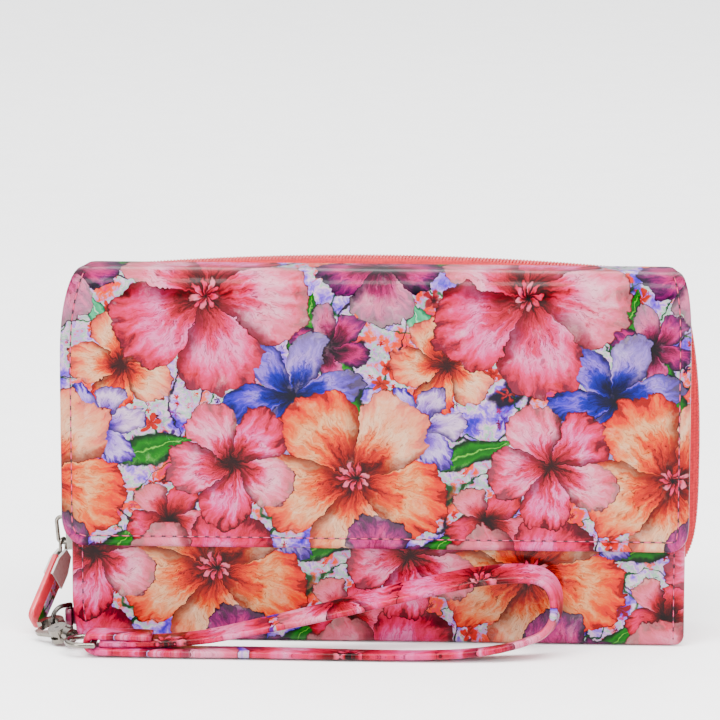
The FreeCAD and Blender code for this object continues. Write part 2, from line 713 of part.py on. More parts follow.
def back_slip_pocket():
    total = "(slip_gap + lining_thick)"
    body = plate("back_slip_pocket", "-slip_half_width", "slip_half_width", f"{COIN_HINGE_Z}", "slip_height",
                 f"{BACK_IN} - {total}", BACK_IN)
    room = rectangle("-slip_half_width + coin_seam", "slip_half_width - coin_seam",
                     f"{COIN_HINGE_Z} + coin_seam", "slip_height")
    cut(body, "slip_room", "XZ_Plane", f"{BACK_IN} - slip_gap", BACK_IN, draw_polygon, room)
    return body


def zip_gussets():
    """The fabric at the foot of the zip's sides: each side is two leaves that meet at an inward fold."""
    leaves = []
    for side, sign in (("left", -1), ("right", 1)):
        for which, seam, step in (("front", MIDDLE_BACK, -1), ("back", BACK_IN, 1)):
            tip = f"{ZIP_Y} + {step} * clearance / 2"
            leaves.append(pleat(f"zip_gusset_{which}_{side}", sign, (seam,), tip,
                                "cover_thick + clearance", "zip_foot - clearance"))
    return leaves


def coin_pocket_front():
    """The pocket's front sheet with its sewn rim and the window that its zip fills."""
    body = plate("coin_pocket_front", "-coin_half_width", "coin_half_width", COIN_HINGE_Z, "coin_height",
                 COIN_FRONT, f"{COIN_BACK} - lining_thick")
    add(body, "pocket_fold", "YZ_Plane", "-coin_half_width", "coin_half_width",
        draw_circle, (ZIP_Y, COIN_HINGE_Z), "coin_thick / 2")
    room = rectangle("-coin_half_width + coin_seam", "coin_half_width - coin_seam",
                     f"{COIN_HINGE_Z} + coin_thick / 2 + coin_seam", "coin_height - coin_seam")
    cut(body, "coin_room", "XZ_Plane", f"{COIN_FRONT} + lining_thick", f"{COIN_BACK} - lining_thick",
        draw_polygon, room)
    window = rectangle("-(coin_zip_half + 2)", "coin_zip_half + 2",
                       f"{COIN_ZIP} - coin_window / 2", f"{COIN_ZIP} + coin_window / 2")
    cut(body, "zip_window", "XZ_Plane", COIN_FRONT, f"{COIN_FRONT} + lining_thick", draw_polygon, window)
    return body


def coin_pocket_back():
    return plate("coin_pocket_back", "-coin_half_width", "coin_half_width",
                 f"{COIN_HINGE_Z} + coin_thick / 2", "coin_height", f"{COIN_BACK} - lining_thick", COIN_BACK)


COIN_TAPE_Y = f"({COIN_FRONT} + lining_thick)"


def coin_zip_tape():
    body = plate("coin_zip_tape", "-(coin_zip_half + 6)", "coin_zip_half + 6", f"{COIN_ZIP} - coin_tape / 2",
                 f"{COIN_ZIP} + coin_tape / 2", COIN_TAPE_Y, f"{COIN_TAPE_Y} + coin_tape_thick")
    gap = rectangle("-coin_zip_half", "coin_zip_half", f"{COIN_ZIP} - coil_gap / 2 - 0.2",
                    f"{COIN_ZIP} + coil_gap / 2 + 0.2")
    cut(body, "chain_gap", "XZ_Plane", COIN_TAPE_Y, f"{COIN_TAPE_Y} + coin_tape_thick", draw_polygon, gap)
    return body


def coin_zip_rows():
    """The lower and upper rows of the pocket's zip, on the front of its tape."""
    rows = []
    for name, sign in (("lower", -1), ("upper", 1)):
        levels = sorted((f"{COIN_ZIP} + {sign} * coil_gap / 2",
                         f"{COIN_ZIP} + {sign} * (coil_gap / 2 + coin_coil_width)"), key=number)
        rows.append(plate(f"coin_zip_{name}_row", "-coin_zip_half", "coin_zip_half", *levels,
                          f"{COIN_TAPE_Y} - coin_coil_thick", COIN_TAPE_Y))
    return rows


def coin_slider():
    """The pocket's slider, at the left end of its zip, with a short fixed tab."""
    body = new_body("coin_slider")
    left = "-coin_zip_half + 1"
    right = f"{left} + coin_slider_length"
    front = f"{COIN_TAPE_Y} - coin_coil_thick - clearance"
    behind = f"{COIN_TAPE_Y} + coin_tape_thick + clearance"
    half = "(coil_gap / 2 + coin_coil_width)"
    face = rectangle(left, right, f"{COIN_ZIP} - {half}", f"{COIN_ZIP} + {half}")
    web = rectangle(left, right, f"{COIN_ZIP} - slider_web / 2", f"{COIN_ZIP} + slider_web / 2")
    add(body, "coin_web", "XZ_Plane", f"{front} - slider_plate", f"{behind} + slider_plate", draw_polygon, web)
    add(body, "coin_front_plate", "XZ_Plane", f"{front} - slider_plate", front, draw_polygon, face)
    add(body, "coin_back_plate", "XZ_Plane", behind, f"{behind} + slider_plate", draw_polygon, face)
    tab = rectangle(f"{left} + 2.5", f"{right} - 2.5", f"{COIN_ZIP} - coin_pull_length",
                    f"{COIN_ZIP} + 1")
    add(body, "coin_tab", "XZ_Plane", f"{front} - 2 * slider_plate", f"{front} - slider_plate", draw_polygon, tab)
    return body


# ---------------------------------------------------------------- D-ring, clasp and strap
def d_ring_tab():
    """Leather folded round the D-ring's bar and sewn behind the front panel's left edge."""
    body = new_body("d_ring_tab")
    low, high = "ring_height - tab_width / 2", "ring_height + tab_width / 2"
    anchor = rectangle(RING_X, f"-{HALF} + seam_margin - clearance", FRONT_IN, f"{FRONT_IN} + 2 * tab_leather")
    add(body, "anchor", "XY_Plane", low, high, draw_polygon, anchor)
    add(body, "loop", "XY_Plane", low, high, draw_circle, (RING_X, RING_Y), TAB_LOOP)
    cut(body, "bar_hole", "XY_Plane", low, high, draw_circle, (RING_X, RING_Y), "ring_wire + fit_gap")
    return body


def wire_loop(name, half_height, leg, wire):
    """A D of wire in the XZ plane: its bar on the Z axis, two legs and a half ring towards +X."""
    pieces = [primitive("Cylinder", f"{name}_bar", ("0", "0", f"-({half_height})"),
                        Radius=wire, Height=f"2 * {half_height}")]
    for end, sign in (("low", -1), ("high", 1)):
        level = f"{sign} * {half_height}"
        pieces.append(primitive("Sphere", f"{name}_{end}_corner", ("0", "0", level), Radius=wire))
        pieces.append(primitive("Cylinder", f"{name}_{end}_leg", ("0", "0", level), *ALONG_X,
                                Radius=wire, Height=leg))
    pieces.append(primitive("Torus", f"{name}_round", (leg, "0", "0"), *UPRIGHT_LOOP,
                            Radius1=half_height, Radius2=wire, Angle3=180))
    return pieces


def d_ring():
    ring = join("d_ring", *wire_loop("ring", "ring_half_height", "ring_leg", "ring_wire"))
    ring.setExpression("Placement", bound(
        f"create(<<placement>>; create(<<vector>>; {RING_X}; {RING_Y}; ring_height); "
        "create(<<rotation>>; create(<<vector>>; 0; 0; 1); ring_turn))"))
    doc.recompute()
    return ring


def at_clasp(piece, rolled=True):
    """The clasp is drawn with its claw on the origin and its stem along +X, then laid out from the D-ring."""
    roll = " * create(<<rotation>>; create(<<vector>>; 1; 0; 0); clasp_roll)" if rolled else ""
    piece.setExpression("Placement", bound(
        f"create(<<placement>>; create(<<vector>>; {CLAW_X}; {CLAW_Y}; clasp_height); "
        f"create(<<rotation>>; create(<<vector>>; 0; 0; 1); clasp_turn){roll})"))
    doc.recompute()
    return piece


BARREL_END = f"(clasp_reach - {LOOP_RADIUS} - eye_wire - post_show)"
BARREL_START = f"({BARREL_END} - barrel_length)"
PIVOT = ("gate_pivot", "-gate_eye / 2")
HEAD_START = f"({BARREL_START} + 0.8)"


def clasp_hook():
    body = new_body("clasp_hook")
    half = "claw_thick / 2"
    outer = "(claw_inner + claw_rim)"
    add(body, "claw", "XY_Plane", f"-{half}", half, draw_sector, "claw_inner", outer, "-10", "claw_nose_angle")
    stem = [
        ("claw_inner + claw_rim / 2", "-stem_width / 3"), (BARREL_START, "-stem_width / 2"),
        (BARREL_START, "stem_width / 2"), ("claw_inner + claw_rim / 4", "stem_width / 2"),
    ]
    add(body, "stem", "XY_Plane", f"-{half}", half, draw_polygon, stem)
    cheek = "boss_thick / 2"
    add(body, "boss", "XY_Plane", f"-{cheek}", cheek, draw_circle, PIVOT, "boss_radius")
    room = "(gate_thick / 2 + fit_gap)"
    swing = "(gate_eye + fit_gap)"
    cut(body, "gate_room", "XY_Plane", f"-{room}", room, draw_polygon,
        [("claw_inner - 1", "-stem_width"), (f"gate_pivot + {swing}", "-stem_width"),
         (f"gate_pivot + {swing}", f"-gate_eye / 2 + {swing}"), ("claw_inner - 1", f"-gate_eye / 2 + {swing}")])
    cut(body, "pin_hole", "XY_Plane", f"-{cheek}", cheek, draw_circle, PIVOT, "pin_radius")
    add(body, "barrel", "YZ_Plane", BARREL_START, BARREL_END, draw_circle, ("0", "0"), "barrel_radius")
    cut(body, "head_room", "YZ_Plane", HEAD_START, f"{HEAD_START} + post_head_thick + 2 * fit_gap",
        draw_circle, ("0", "0"), "post_head + fit_gap")
    cut(body, "post_bore", "YZ_Plane", HEAD_START, BARREL_END, draw_circle, ("0", "0"), "post_radius + fit_gap")
    return at_clasp(body)


def clasp_gate():
    """The sprung lever that closes the claw: its arc, a tip inside the claw's nose, and an arm to the pin."""
    body = new_body("clasp_gate")
    half = "gate_thick / 2"
    outer = "(claw_inner + claw_rim)"
    add(body, "gate_arc", "XY_Plane", f"-{half}", half,
        draw_sector, "claw_inner", outer, "gate_tip_angle", "gate_root_angle")
    tip = [
        polar(outer, "(gate_tip_angle + 2)"), ("-0.8 * claw_inner", "-0.4 * claw_inner"),
        ("-0.58 * claw_inner", "-0.4 * claw_inner"), polar("claw_inner", "(gate_tip_angle + 4)"),
    ]
    add(body, "gate_tip", "XY_Plane", f"-{half}", half, draw_polygon, tip)
    root = "(gate_root_angle - 12)"
    arm = [polar("claw_inner", root), polar(outer, root),
           ("gate_pivot", "-1.5 * gate_eye + 0.1"), ("gate_pivot", "gate_eye / 2 - 0.1")]
    add(body, "arm", "XY_Plane", f"-{half}", half, draw_polygon, arm)
    add(body, "gate_eye_disc", "XY_Plane", f"-{half}", half, draw_circle, PIVOT, "gate_eye")
    cut(body, "gate_hole", "XY_Plane", f"-{half}", half, draw_circle, PIVOT, "pin_radius + fit_gap")
    return at_clasp(body)


def gate_pin():
    body = new_body("gate_pin")
    half = "boss_thick / 2"
    add(body, "pin", "XY_Plane", f"-{half}", half, draw_circle, PIVOT, "pin_radius")
    return at_clasp(body)


def swivel_eye():
    """The strap's eye: a D of wire whose bar carries the strap, on a post with its head in the clasp's barrel."""
    loop = join("eye_loop", *wire_loop("eye", LOOP_RADIUS, "eye_leg", "eye_wire"))
    loop.setExpression("Placement", bound(
        f"create(<<placement>>; create(<<vector>>; {BAR_X}; {LOOP_Y}; clasp_height); "
        "create(<<rotation>>; create(<<vector>>; 0; 1; 1); 180))"))
    head = f"({HEAD_START} + fit_gap)"
    post = join(
        "eye_post",
        primitive("Cylinder", "post", (head, "0", "0"), *ALONG_X,
                  Radius="post_radius", Height=f"clasp_reach - {LOOP_RADIUS} - {head}"),
        primitive("Cylinder", "head", (head, "0", "0"), *ALONG_X, Radius="post_head", Height="post_head_thick"))
    return join("swivel_eye", loop, at_clasp(post, rolled=False))


# ---------------------------------------------------------------- wrist strap
# The route of the strap round its loop: x along the wallet, z above the floor. Its plane leans back to the wallet.
STRAP_ROUTE = [
    (-86.1, 1.9), (-64, 1.5), (-36, 1.7), (-6, 1.3), (24, 1.45), (45, 3.6), (61.5, 9.5),
    (60.5, 25), (42, 25.6), (16, 20.8), (-12, 14), (-35.5, 8.9), (-60, 4.2), (-84.3, 4.25),
]


def strap_fold():
    """The strap's sewn end: round the eye's bar, back over the other layers and down to the lower strand."""
    body = new_body("strap_fold")
    half = "strap_width / 2"
    low, high = "(eye_wire + clearance)", "(eye_wire + clearance + strap_thick)"
    add(body, "turn", "XZ_Plane", f"-{half}", half, draw_sector, low, high, "90", "270")
    add(body, "tail", "XZ_Plane", f"-{half}", half, draw_polygon, rectangle("0", "strap_tail", low, high))
    round_edges(body, "tail_end", "strap_thick / 3",
                lambda middle, way: abs(way.y) > 0.99 and abs(middle.x - number("strap_tail")) < 0.01)
    for letter, text in zip("xyz", (BAR_X, LOOP_Y, "clasp_height")):
        body.setExpression(f"Placement.Base.{letter}", bound(text))
    doc.recompute()
    return body


def fillet_route(points):
    """Straight runs and tangent arcs along a route in a plane: ('line', a, b) and ('arc', centre, a, b, side)."""
    runs = []
    start = points[0]
    for before, corner, after in zip(points, points[1:], points[2:]):
        way_in, way_out = (corner - before).normalize(), (after - corner).normalize()
        turn = way_in.getAngle(way_out)
        shorter = min((corner - before).Length, (after - corner).Length)
        trim = 0.45 * shorter
        radius = trim / math.tan(turn / 2)
        side = 1 if way_in.cross(way_out).z > 0 else -1
        near, far = corner - way_in * trim, corner + way_out * trim
        centre = near + V(-way_in.y, way_in.x, 0) * (side * radius)
        runs.append(("line", start, near))
        runs.append(("arc", centre, near, far, side, radius, turn))
        start = far
    runs.append(("line", start, points[-1]))
    return runs


def strap():
    """The strap as one band: its outline in the leaning plane, drawn out across the width."""
    lean = math.radians(number("strap_lean"))
    width = number("strap_width")
    base = STRAP_ROUTE[0][1]
    thick = number("strap_thick") / math.cos(lean)
    middle_y = number(LOOP_Y) - (number("clasp_height") - base) * math.tan(lean)

    def lift(point):
        return V(point.x, middle_y - width / 2 + point.y * math.sin(lean), base + point.y * math.cos(lean))

    flat = [V(x, (z - base) / math.cos(lean), 0) for x, z in STRAP_ROUTE]
    runs = fillet_route(flat)
    sides = []
    for offset in (thick / 2, -thick / 2):
        edges = []
        for run in runs:
            if run[0] == "line":
                way = (run[2] - run[1]).normalize()
                move = V(-way.y, way.x, 0) * offset
                edges.append((run[1] + move, run[2] + move))
            else:
                _, centre, near, far, side, radius, turn = run
                scale = (radius - side * offset) / radius
                middle = centre + ((near + far) / 2 - centre).normalize() * radius
                edges.append(tuple(centre + (point - centre) * scale for point in (near, middle, far)))
        sides.append(edges)
    outline = []
    for edges in sides:
        for edge in edges:
            placed = [lift(point) for point in edge]
            curve = Part.LineSegment(*placed) if len(placed) == 2 else Part.Arc(*placed)
            outline.append(curve.toShape())
    for end, position in ((0, 0), (-1, -1)):
        outline.append(Part.LineSegment(*(lift(edges[end][position]) for edges in sides)).toShape())
    face = Part.Face(Part.Wire(Part.__sortEdges__(outline)))
    band = doc.addObject("Part::Feature", "strap")
    band.Label = "strap"
    band.Shape = face.extrude(V(0, width, 0))
    arcs = [run for run in runs if run[0] == "arc"]
    length = sum(run[5] * run[6] for run in arcs)
    length += sum((run[2] - run[1]).Length for run in runs if run[0] == "line")
    print("strap radii", [round(run[5], 1) for run in arcs])
    print("strap turns", [round(math.degrees(run[6]), 1) for run in arcs])
    print("strap length", round(length, 1), "volume", round(band.Shape.Volume, 1),
          "section x length", round(number("strap_thick") * width * length, 1))
    return band


# ---------------------------------------------------------------- build, check and write
nodes = [front_pocket_panel(), front_pocket_lining(), middle_panel(), snap_socket()]
nodes += front_gussets()
nodes += card_slots()
nodes += [flap_top_strip(), flap_panel(), flap_lining(), snap_stud()]
nodes += zip_side("front", MIDDLE_BACK, 1)
nodes += zip_side("back", BACK_IN, -1)
nodes += [zip_slider(), zip_bail(), pull_link(), pull_clamp(), pull_tab()]
nodes += [back_panel(), back_slip_pocket()]
nodes += zip_gussets()
nodes += [coin_pocket_front(), coin_pocket_back(), coin_zip_tape(), coin_slider()]
nodes += coin_zip_rows()
nodes += [d_ring_tab(), d_ring(), clasp_hook(), clasp_gate(), gate_pin(), swivel_eye(), strap_fold(), strap()]
doc.recompute()

for item in doc.Objects:
    bad = [state for state in item.State if state in ("Invalid", "Error")]
    if bad:
        raise RuntimeError(f"{item.Label}: {bad}")
for node in nodes:
    shape = node.Shape
    if shape.isNull() or not shape.isValid() or len(shape.Solids) != 1:
        raise RuntimeError(f"{node.Label}: bad shape with {len(shape.Solids)} solids")
    shape.exportStep(f"parts/{node.Label}.step")
    box = shape.BoundBox
    print(node.Label, [round(v, 2) for v in (box.XMin, box.XMax, box.YMin, box.YMax, box.ZMin, box.ZMax)])
print(len(nodes), "nodes")
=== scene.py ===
"""A flap wallet with a wrist strap: printed glossy covers, coral lining and zip, nickel fittings."""

import json
import math
from functools import partial

import bpy
import numpy as np
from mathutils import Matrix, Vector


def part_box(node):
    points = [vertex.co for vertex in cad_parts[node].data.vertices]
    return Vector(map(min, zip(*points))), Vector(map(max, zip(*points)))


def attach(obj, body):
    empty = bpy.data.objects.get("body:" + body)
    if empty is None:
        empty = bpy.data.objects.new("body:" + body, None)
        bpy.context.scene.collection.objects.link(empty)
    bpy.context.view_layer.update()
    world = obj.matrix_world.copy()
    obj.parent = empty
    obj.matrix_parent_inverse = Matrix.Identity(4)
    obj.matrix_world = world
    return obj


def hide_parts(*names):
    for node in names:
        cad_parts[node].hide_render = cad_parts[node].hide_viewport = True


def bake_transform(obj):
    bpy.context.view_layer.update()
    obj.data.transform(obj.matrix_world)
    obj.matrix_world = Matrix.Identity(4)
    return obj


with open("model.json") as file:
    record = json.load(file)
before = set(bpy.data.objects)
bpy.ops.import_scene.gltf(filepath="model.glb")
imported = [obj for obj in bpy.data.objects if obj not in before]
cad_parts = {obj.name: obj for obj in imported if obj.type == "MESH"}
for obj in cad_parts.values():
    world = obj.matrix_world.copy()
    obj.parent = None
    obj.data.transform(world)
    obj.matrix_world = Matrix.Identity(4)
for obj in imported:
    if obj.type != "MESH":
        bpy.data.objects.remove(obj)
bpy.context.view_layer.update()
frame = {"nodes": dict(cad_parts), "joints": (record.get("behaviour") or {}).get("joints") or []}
bpy.ops.object.select_all(action="DESELECT")

MM = 0.001
QUARTER = np.pi / 2
CLOTH_UNIT = 100     # millimetres of cloth to one unit of a piece's flat position


# ---- helpers for meshes
def stack(*columns):
    """Points from their coordinates, which are first spread to one shape."""
    return np.stack(np.broadcast_arrays(*columns), -1)


def unit(ways):
    """Directions brought to length 1."""
    return ways / np.linalg.norm(ways, axis=-1, keepdims=True)


def distances(line):
    """How far along a line each of its points lies."""
    return np.concatenate([[0], np.cumsum(np.linalg.norm(np.diff(line, axis=0), axis=1))])


def read_off(at, run, values):
    """Values along a line, read off at given distances."""
    return np.stack([np.interp(at, run, column) for column in values.T], -1)


def ease(value):
    """A smooth step from 0 to 1: 3 v squared less 2 v cubed."""
    value = np.clip(value, 0, 1)
    return value * value * (3 - 2 * value)


def grid_faces(rows, columns, closed=False):
    """Quads between neighbouring points of a rows by columns grid, each row closed into a ring where
    asked."""
    r, c = np.meshgrid(np.arange(rows - 1), np.arange(columns if closed else columns - 1), indexing="ij")
    on = (c + 1) % columns
    faces = stack(r * columns + c, r * columns + on, (r + 1) * columns + on, (r + 1) * columns + c)
    return faces.reshape(-1, 4)


def loop_faces(count, rows):
    """Quads of count small spindles, each of rows rings of six points, with both of its ends closed."""
    caps = np.array([[5, 4, 3, 2], [5, 2, 1, 0], [0, 1, 2, 3], [0, 3, 4, 5]])
    caps[2:] += rows * 6 - 6
    faces = np.concatenate([grid_faces(rows, 6, closed=True), caps])
    return (faces[None] + (np.arange(count) * rows * 6)[:, None, None]).reshape(-1, 4)


def make_mesh(name, points, faces, flat=None):
    """A smooth mesh from points in millimetres, quads, and each point's flat position on the cloth."""
    mesh = bpy.data.meshes.new(name)
    mesh.from_pydata((np.asarray(points, float).reshape(-1, 3) * MM).tolist(), [], np.asarray(faces).tolist())
    if flat is not None:
        corner = np.zeros(len(mesh.loops), np.int32)
        mesh.loops.foreach_get("vertex_index", corner)
        layer = mesh.uv_layers.new(name="cloth")
        layer.data.foreach_set("uv", np.asarray(flat, float).reshape(-1, 2)[corner].ravel())
    mesh.shade_smooth()
    piece = bpy.data.objects.new(name, mesh)
    bpy.context.scene.collection.objects.link(piece)
    return piece


def close_up(piece, ends=False):
    """Fills the open ends where asked, merges the points where faces meet, and turns every face
    outwards."""
    bpy.context.view_layer.objects.active = piece
    piece.select_set(True)
    bpy.ops.object.mode_set(mode="EDIT")
    bpy.ops.mesh.select_all(action="SELECT")
    if ends:
        bpy.ops.mesh.fill_holes(sides=0)
        bpy.ops.mesh.select_all(action="SELECT")
    bpy.ops.mesh.remove_doubles(threshold=1e-6)
    bpy.ops.mesh.normals_make_consistent(inside=False)
    bpy.ops.object.mode_set(mode="OBJECT")
    piece.select_set(False)
    return piece


RIM_STEPS = np.array([0, 0.1, 0.3, 0.6, 1.0, 1.5, 2.1, 2.6, 3.0, 3.4, 3.9, 4.6, 5.6, 7])


def near_edges(length, step, rims=(1, 1)):
    """Positions from 0 to length: close together by each end that has a rim, and about a step apart
    between."""
    fine = RIM_STEPS[RIM_STEPS < length * 0.45]
    start, stop = (fine if rim else np.array([0.0]) for rim in rims)
    count = int((length - start[-1] - stop[-1]) / step) + 1
    middle = np.linspace(start[-1], length - stop[-1], max(2, count))
    return np.concatenate([start, middle[1:-1], (length - stop)[::-1]])


def upright(y, z0):
    """The path of a flat panel: it rises from z0 in the plane y and faces the front."""
    return lambda s: (np.full_like(s, y), z0 + s, np.full_like(s, -1.0), np.zeros_like(s))


def bent(start, way, out, straight, radius):
    """The path of a panel with one bend: from its start (y, z) straight along way, round a quarter circle,
    and straight on away from out, which is where its outer face looks at the start."""
    y, z = np.array(start) + np.multiply(way, straight) - np.multiply(out, radius)

    def path(s):
        turn = np.clip((s - straight) / radius, 0, QUARTER)
        along = radius * np.sin(turn) + np.minimum(s - straight, 0)
        up = radius * np.cos(turn) - np.maximum(s - straight - radius * QUARTER, 0)
        return (y + along * way[0] + up * out[0], z + along * way[1] + up * out[1],
                np.sin(turn) * way[0] + np.cos(turn) * out[0], np.sin(turn) * way[1] + np.cos(turn) * out[1])

    return path


def edge_distance(x, s, left, right, length, radii, rims):
    """How far a point of a flat shape lies from its rim: the shorter of the ways to a side and to an end,
    and inside a rounded corner the corner's radius less the way to its centre."""
    side = np.minimum(x - left(s), right(s) - x)
    found = side.copy()
    for way, radius, rim in ((s, radii[0], rims[0]), (length - s, radii[1], rims[1])):
        if rim:
            corner = (side < radius) & (way < radius)
            inner = radius - np.hypot(radius - np.minimum(side, radius), radius - np.minimum(way, radius))
            found = np.minimum(found, np.where(corner, inner, way))
    return np.maximum(found, 0)


def sewn_sheet(name, path, length, left, right, thick, pad=0.0, radii=(0, 0), rims=(1, 1), seam=3.0, dip=0.0,
               ripple=0.0, hem=0.0, step=4.0, print_at=(0, 0), print_turn=1, fade=None, more=()):
    """A sewn panel with both faces: flat points (x, s) are carried along a path through (y, z) and moved
    off it along the path's normal. Half the thickness follows a quarter round at the rim; the outer face
    also swells inside the seam by pad, sinks along the stitch line by dip and swells outside it by hem.
    More rows can be asked for at places where the outline turns."""
    left, right = (edge if callable(edge) else partial(np.full_like, fill_value=edge)
                   for edge in (left, right))
    s = np.union1d(near_edges(length, step, rims), more)
    across = near_edges(float(np.max(right(s) - left(s))), step)
    share = across / across[-1]
    low, high = left(s), right(s)
    for way, radius, rim in ((s, radii[0], rims[0]), (length - s, radii[1], rims[1])):
        if rim and radius:
            arc = radius - np.sqrt(np.maximum(radius ** 2 - (radius - way) ** 2, 0))
            cut = np.where(way < radius, arc, 0)
            low, high = low + cut, high - cut
    x = low[:, None] + share[None, :] * (high - low)[:, None]
    s = np.repeat(s[:, None], len(share), 1)
    rim = edge_distance(x, s, left, right, length, radii, rims)
    rim[:, [0, -1]] = 0
    half = thick / 2 * np.sqrt(np.maximum(0, 1 - (1 - np.minimum(rim, thick / 2) / (thick / 2)) ** 2))
    swell = pad * ease((rim - seam) / 9)
    swell += hem * np.exp(-((rim - seam / 2) / (seam / 3)) ** 2) * np.minimum(rim, 1)
    swell -= dip * np.exp(-((rim - seam) / 0.55) ** 2)
    swell += ripple * np.minimum(rim / 6, 1) * (
        np.sin(x / 23.0 + s / 41.0 + 0.6) * np.sin(s / 17.0 + 1.1) + 0.5 * np.sin(x / 11.0 - s / 29.0))
    if fade:
        swell *= fade(s)
    y, z, ny, nz = path(s)
    sheets = [stack(x, y + ny * out, z + nz * out) for out in (half + swell, -half)]
    flat = stack(x + print_at[0], print_turn * (s + print_at[1])) / CLOTH_UNIT
    faces = grid_faces(*x.shape)
    return close_up(make_mesh(name, sheets, np.concatenate([faces, faces[:, ::-1] + x.size]), [flat, flat]))


PITCH, STITCH, THREAD_R = 3.4, 3.38, 0.17


def thread(name, points, normals):
    """A row of stitches along a line: each is a small spindle, round its own axis, whose ends sink in. Its
    flat position runs from -1 to 1 along the stitch, so that the finish can paint the shade of the needle
    holes on its ends."""
    run = distances(points)
    at = np.arange(PITCH / 2, run[-1], PITCH)
    centre, out = read_off(at, run, points), read_off(at, run, normals)
    way = unit(read_off(at + 0.4, run, points) - read_off(at - 0.4, run, points))
    side = unit(np.cross(way, out))
    out = np.cross(side, way)
    u = np.array([-1, -0.84, -0.6, 0, 0.6, 0.84, 1])
    v = np.linspace(0, 2 * np.pi, 6, endpoint=False)
    girth = THREAD_R * np.array([0.9, 1.6, 1.05, 1, 1.05, 1.6, 0.9])
    lift = THREAD_R * 0.8 * (1 - u ** 4)
    ring = (way[:, None, None] * (u * STITCH / 2)[None, :, None, None]
            + out[:, None, None] * (lift[:, None] + girth[:, None] * np.sin(v))[None, :, :, None]
            + side[:, None, None] * (girth[:, None] * np.cos(v))[None, :, :, None])
    flat = np.broadcast_to(stack(u, 0 * u)[None, :, None], (len(at), 7, 6, 2))
    return close_up(make_mesh(name, centre[:, None, None] + ring, loop_faces(len(at), 7), flat))


def carry(name, line, across, profile, print_at=(0, 0)):
    """A closed profile carried along a line: its point (a, n) sits at line + a across + n normal, where the
    normal is square to the line's own way and to across."""
    across = np.broadcast_to(across, line.shape)
    normal = np.cross(unit(np.gradient(line, axis=0)), across)
    a, n = profile.T
    points = line[:, None] + across[:, None] * a[None, :, None] + normal[:, None] * n[None, :, None]
    flat = stack(a + print_at[0], distances(line)[:, None] + print_at[1]) / CLOTH_UNIT
    faces = grid_faces(len(line), len(profile), closed=True)
    return close_up(make_mesh(name, points, faces, flat), ends=True)


def soft_bar(width, thick, edge, flat, crown):
    """The outline of a flat band with half-round edges: the crown lifts the middle of both faces."""
    turn = np.linspace(-QUARTER, QUARTER, edge)
    half, r = width / 2 - thick / 2, thick / 2
    top = np.linspace(half, -half, flat + 2)[1:-1]
    bump = crown * (1 - (top / half) ** 2)
    return np.concatenate([stack(half + r * np.cos(turn), r * np.sin(turn)), stack(top, r + bump),
                           stack(-half - r * np.cos(turn), -r * np.sin(turn)), stack(-top, -r - bump)])


# ---- camera, light and floor
AIM = np.array([-0.0042, -0.018, 0.0912])
TURN, RISE, WAY_OFF = math.radians(3), math.radians(12), 1.5528
back = np.array([math.sin(TURN) * math.cos(RISE), -math.cos(TURN) * math.cos(RISE), math.sin(RISE)])
camera = bpy.data.objects.new("camera", bpy.data.cameras.new("camera"))
bpy.context.scene.collection.objects.link(camera)
camera.data.lens = 250
camera.data.sensor_width = 36
camera.location = AIM + back * WAY_OFF
camera.rotation_euler = (math.pi / 2 - RISE, 0, TURN)
camera.data.clip_start, camera.data.clip_end = 0.01, 100
bpy.context.scene.camera = camera


def soft_light(name, place, aim, size, power):
    """A rectangular soft box that faces a point."""
    data = bpy.data.lights.new(name, "AREA")
    data.shape = "RECTANGLE"
    data.size, data.size_y = size
    data.energy = power
    lamp = bpy.data.objects.new(name, data)
    bpy.context.scene.collection.objects.link(lamp)
    x, y, z = np.array(aim, float) - place
    lamp.location = place
    lamp.rotation_euler = (math.acos(-z / np.linalg.norm((x, y, z))), 0, math.atan2(y, x) - math.pi / 2)


soft_light("left_panel", (-0.78, -0.85, 0.42), (0, 0, 0.06), (0.45, 0.9), 11)
soft_light("right_panel", (0.8, -0.85, 0.38), (0, 0, 0.06), (0.45, 0.9), 9)
soft_light("top", (0.0, -0.42, 0.95), (0, -0.01, 0.08), (1.1, 0.35), 22)
soft_light("rim", (0.2, 1.0, 0.8), (0, 0, 0.08), (1.0, 0.5), 5)

around = np.linspace(0, 2 * np.pi, 64, endpoint=False)
reach = np.array([0, 0.4, 4, 30])[:, None] * 1000
floor = make_mesh("floor", stack(reach * np.cos(around), reach * np.sin(around), -0.02),
                  grid_faces(4, 64, closed=True))


# ---- helpers for materials
def colour(code):
    """The linear colour of an sRGB hex value, by the sRGB curve."""
    part = [int(code[i:i + 2], 16) / 255 for i in (1, 3, 5)]
    return [c / 12.92 if c <= 0.04045 else ((c + 0.055) / 1.055) ** 2.4 for c in part] + [1.0]


def add_node(tree, kind, inputs=(), out=0, stops=None, **settings):
    """Adds one shader node and gives one of its outputs. A word after the kind is its operation. Inputs are
    values or links, by name or in the node's own order, where None leaves one as it is: a noise takes
    place, W, scale, detail and roughness, and a MapRange takes a value, the range it comes from and the
    range it goes to. Stops are a ramp's places and colours."""
    kind, _, operation = kind.partition(" ")
    made = tree.nodes.new("ShaderNode" + kind)
    if operation:
        made.operation = operation
    for name, value in settings.items():
        setattr(made, name, value)
    if stops:
        ramp = made.color_ramp
        ramp.elements[0].position, ramp.elements[1].position = stops[0][0], stops[-1][0]
        for place, _ in stops[1:-1]:
            ramp.elements.new(place)
        for element, (_, code) in zip(ramp.elements, stops):
            element.color = colour(code)
    for name, value in inputs.items() if isinstance(inputs, dict) else enumerate(inputs):
        if isinstance(value, bpy.types.NodeSocket):
            tree.links.new(value, made.inputs[name])
        elif value is not None:
            made.inputs[name].default_value = value
    return made.outputs[out] if len(made.outputs) else None


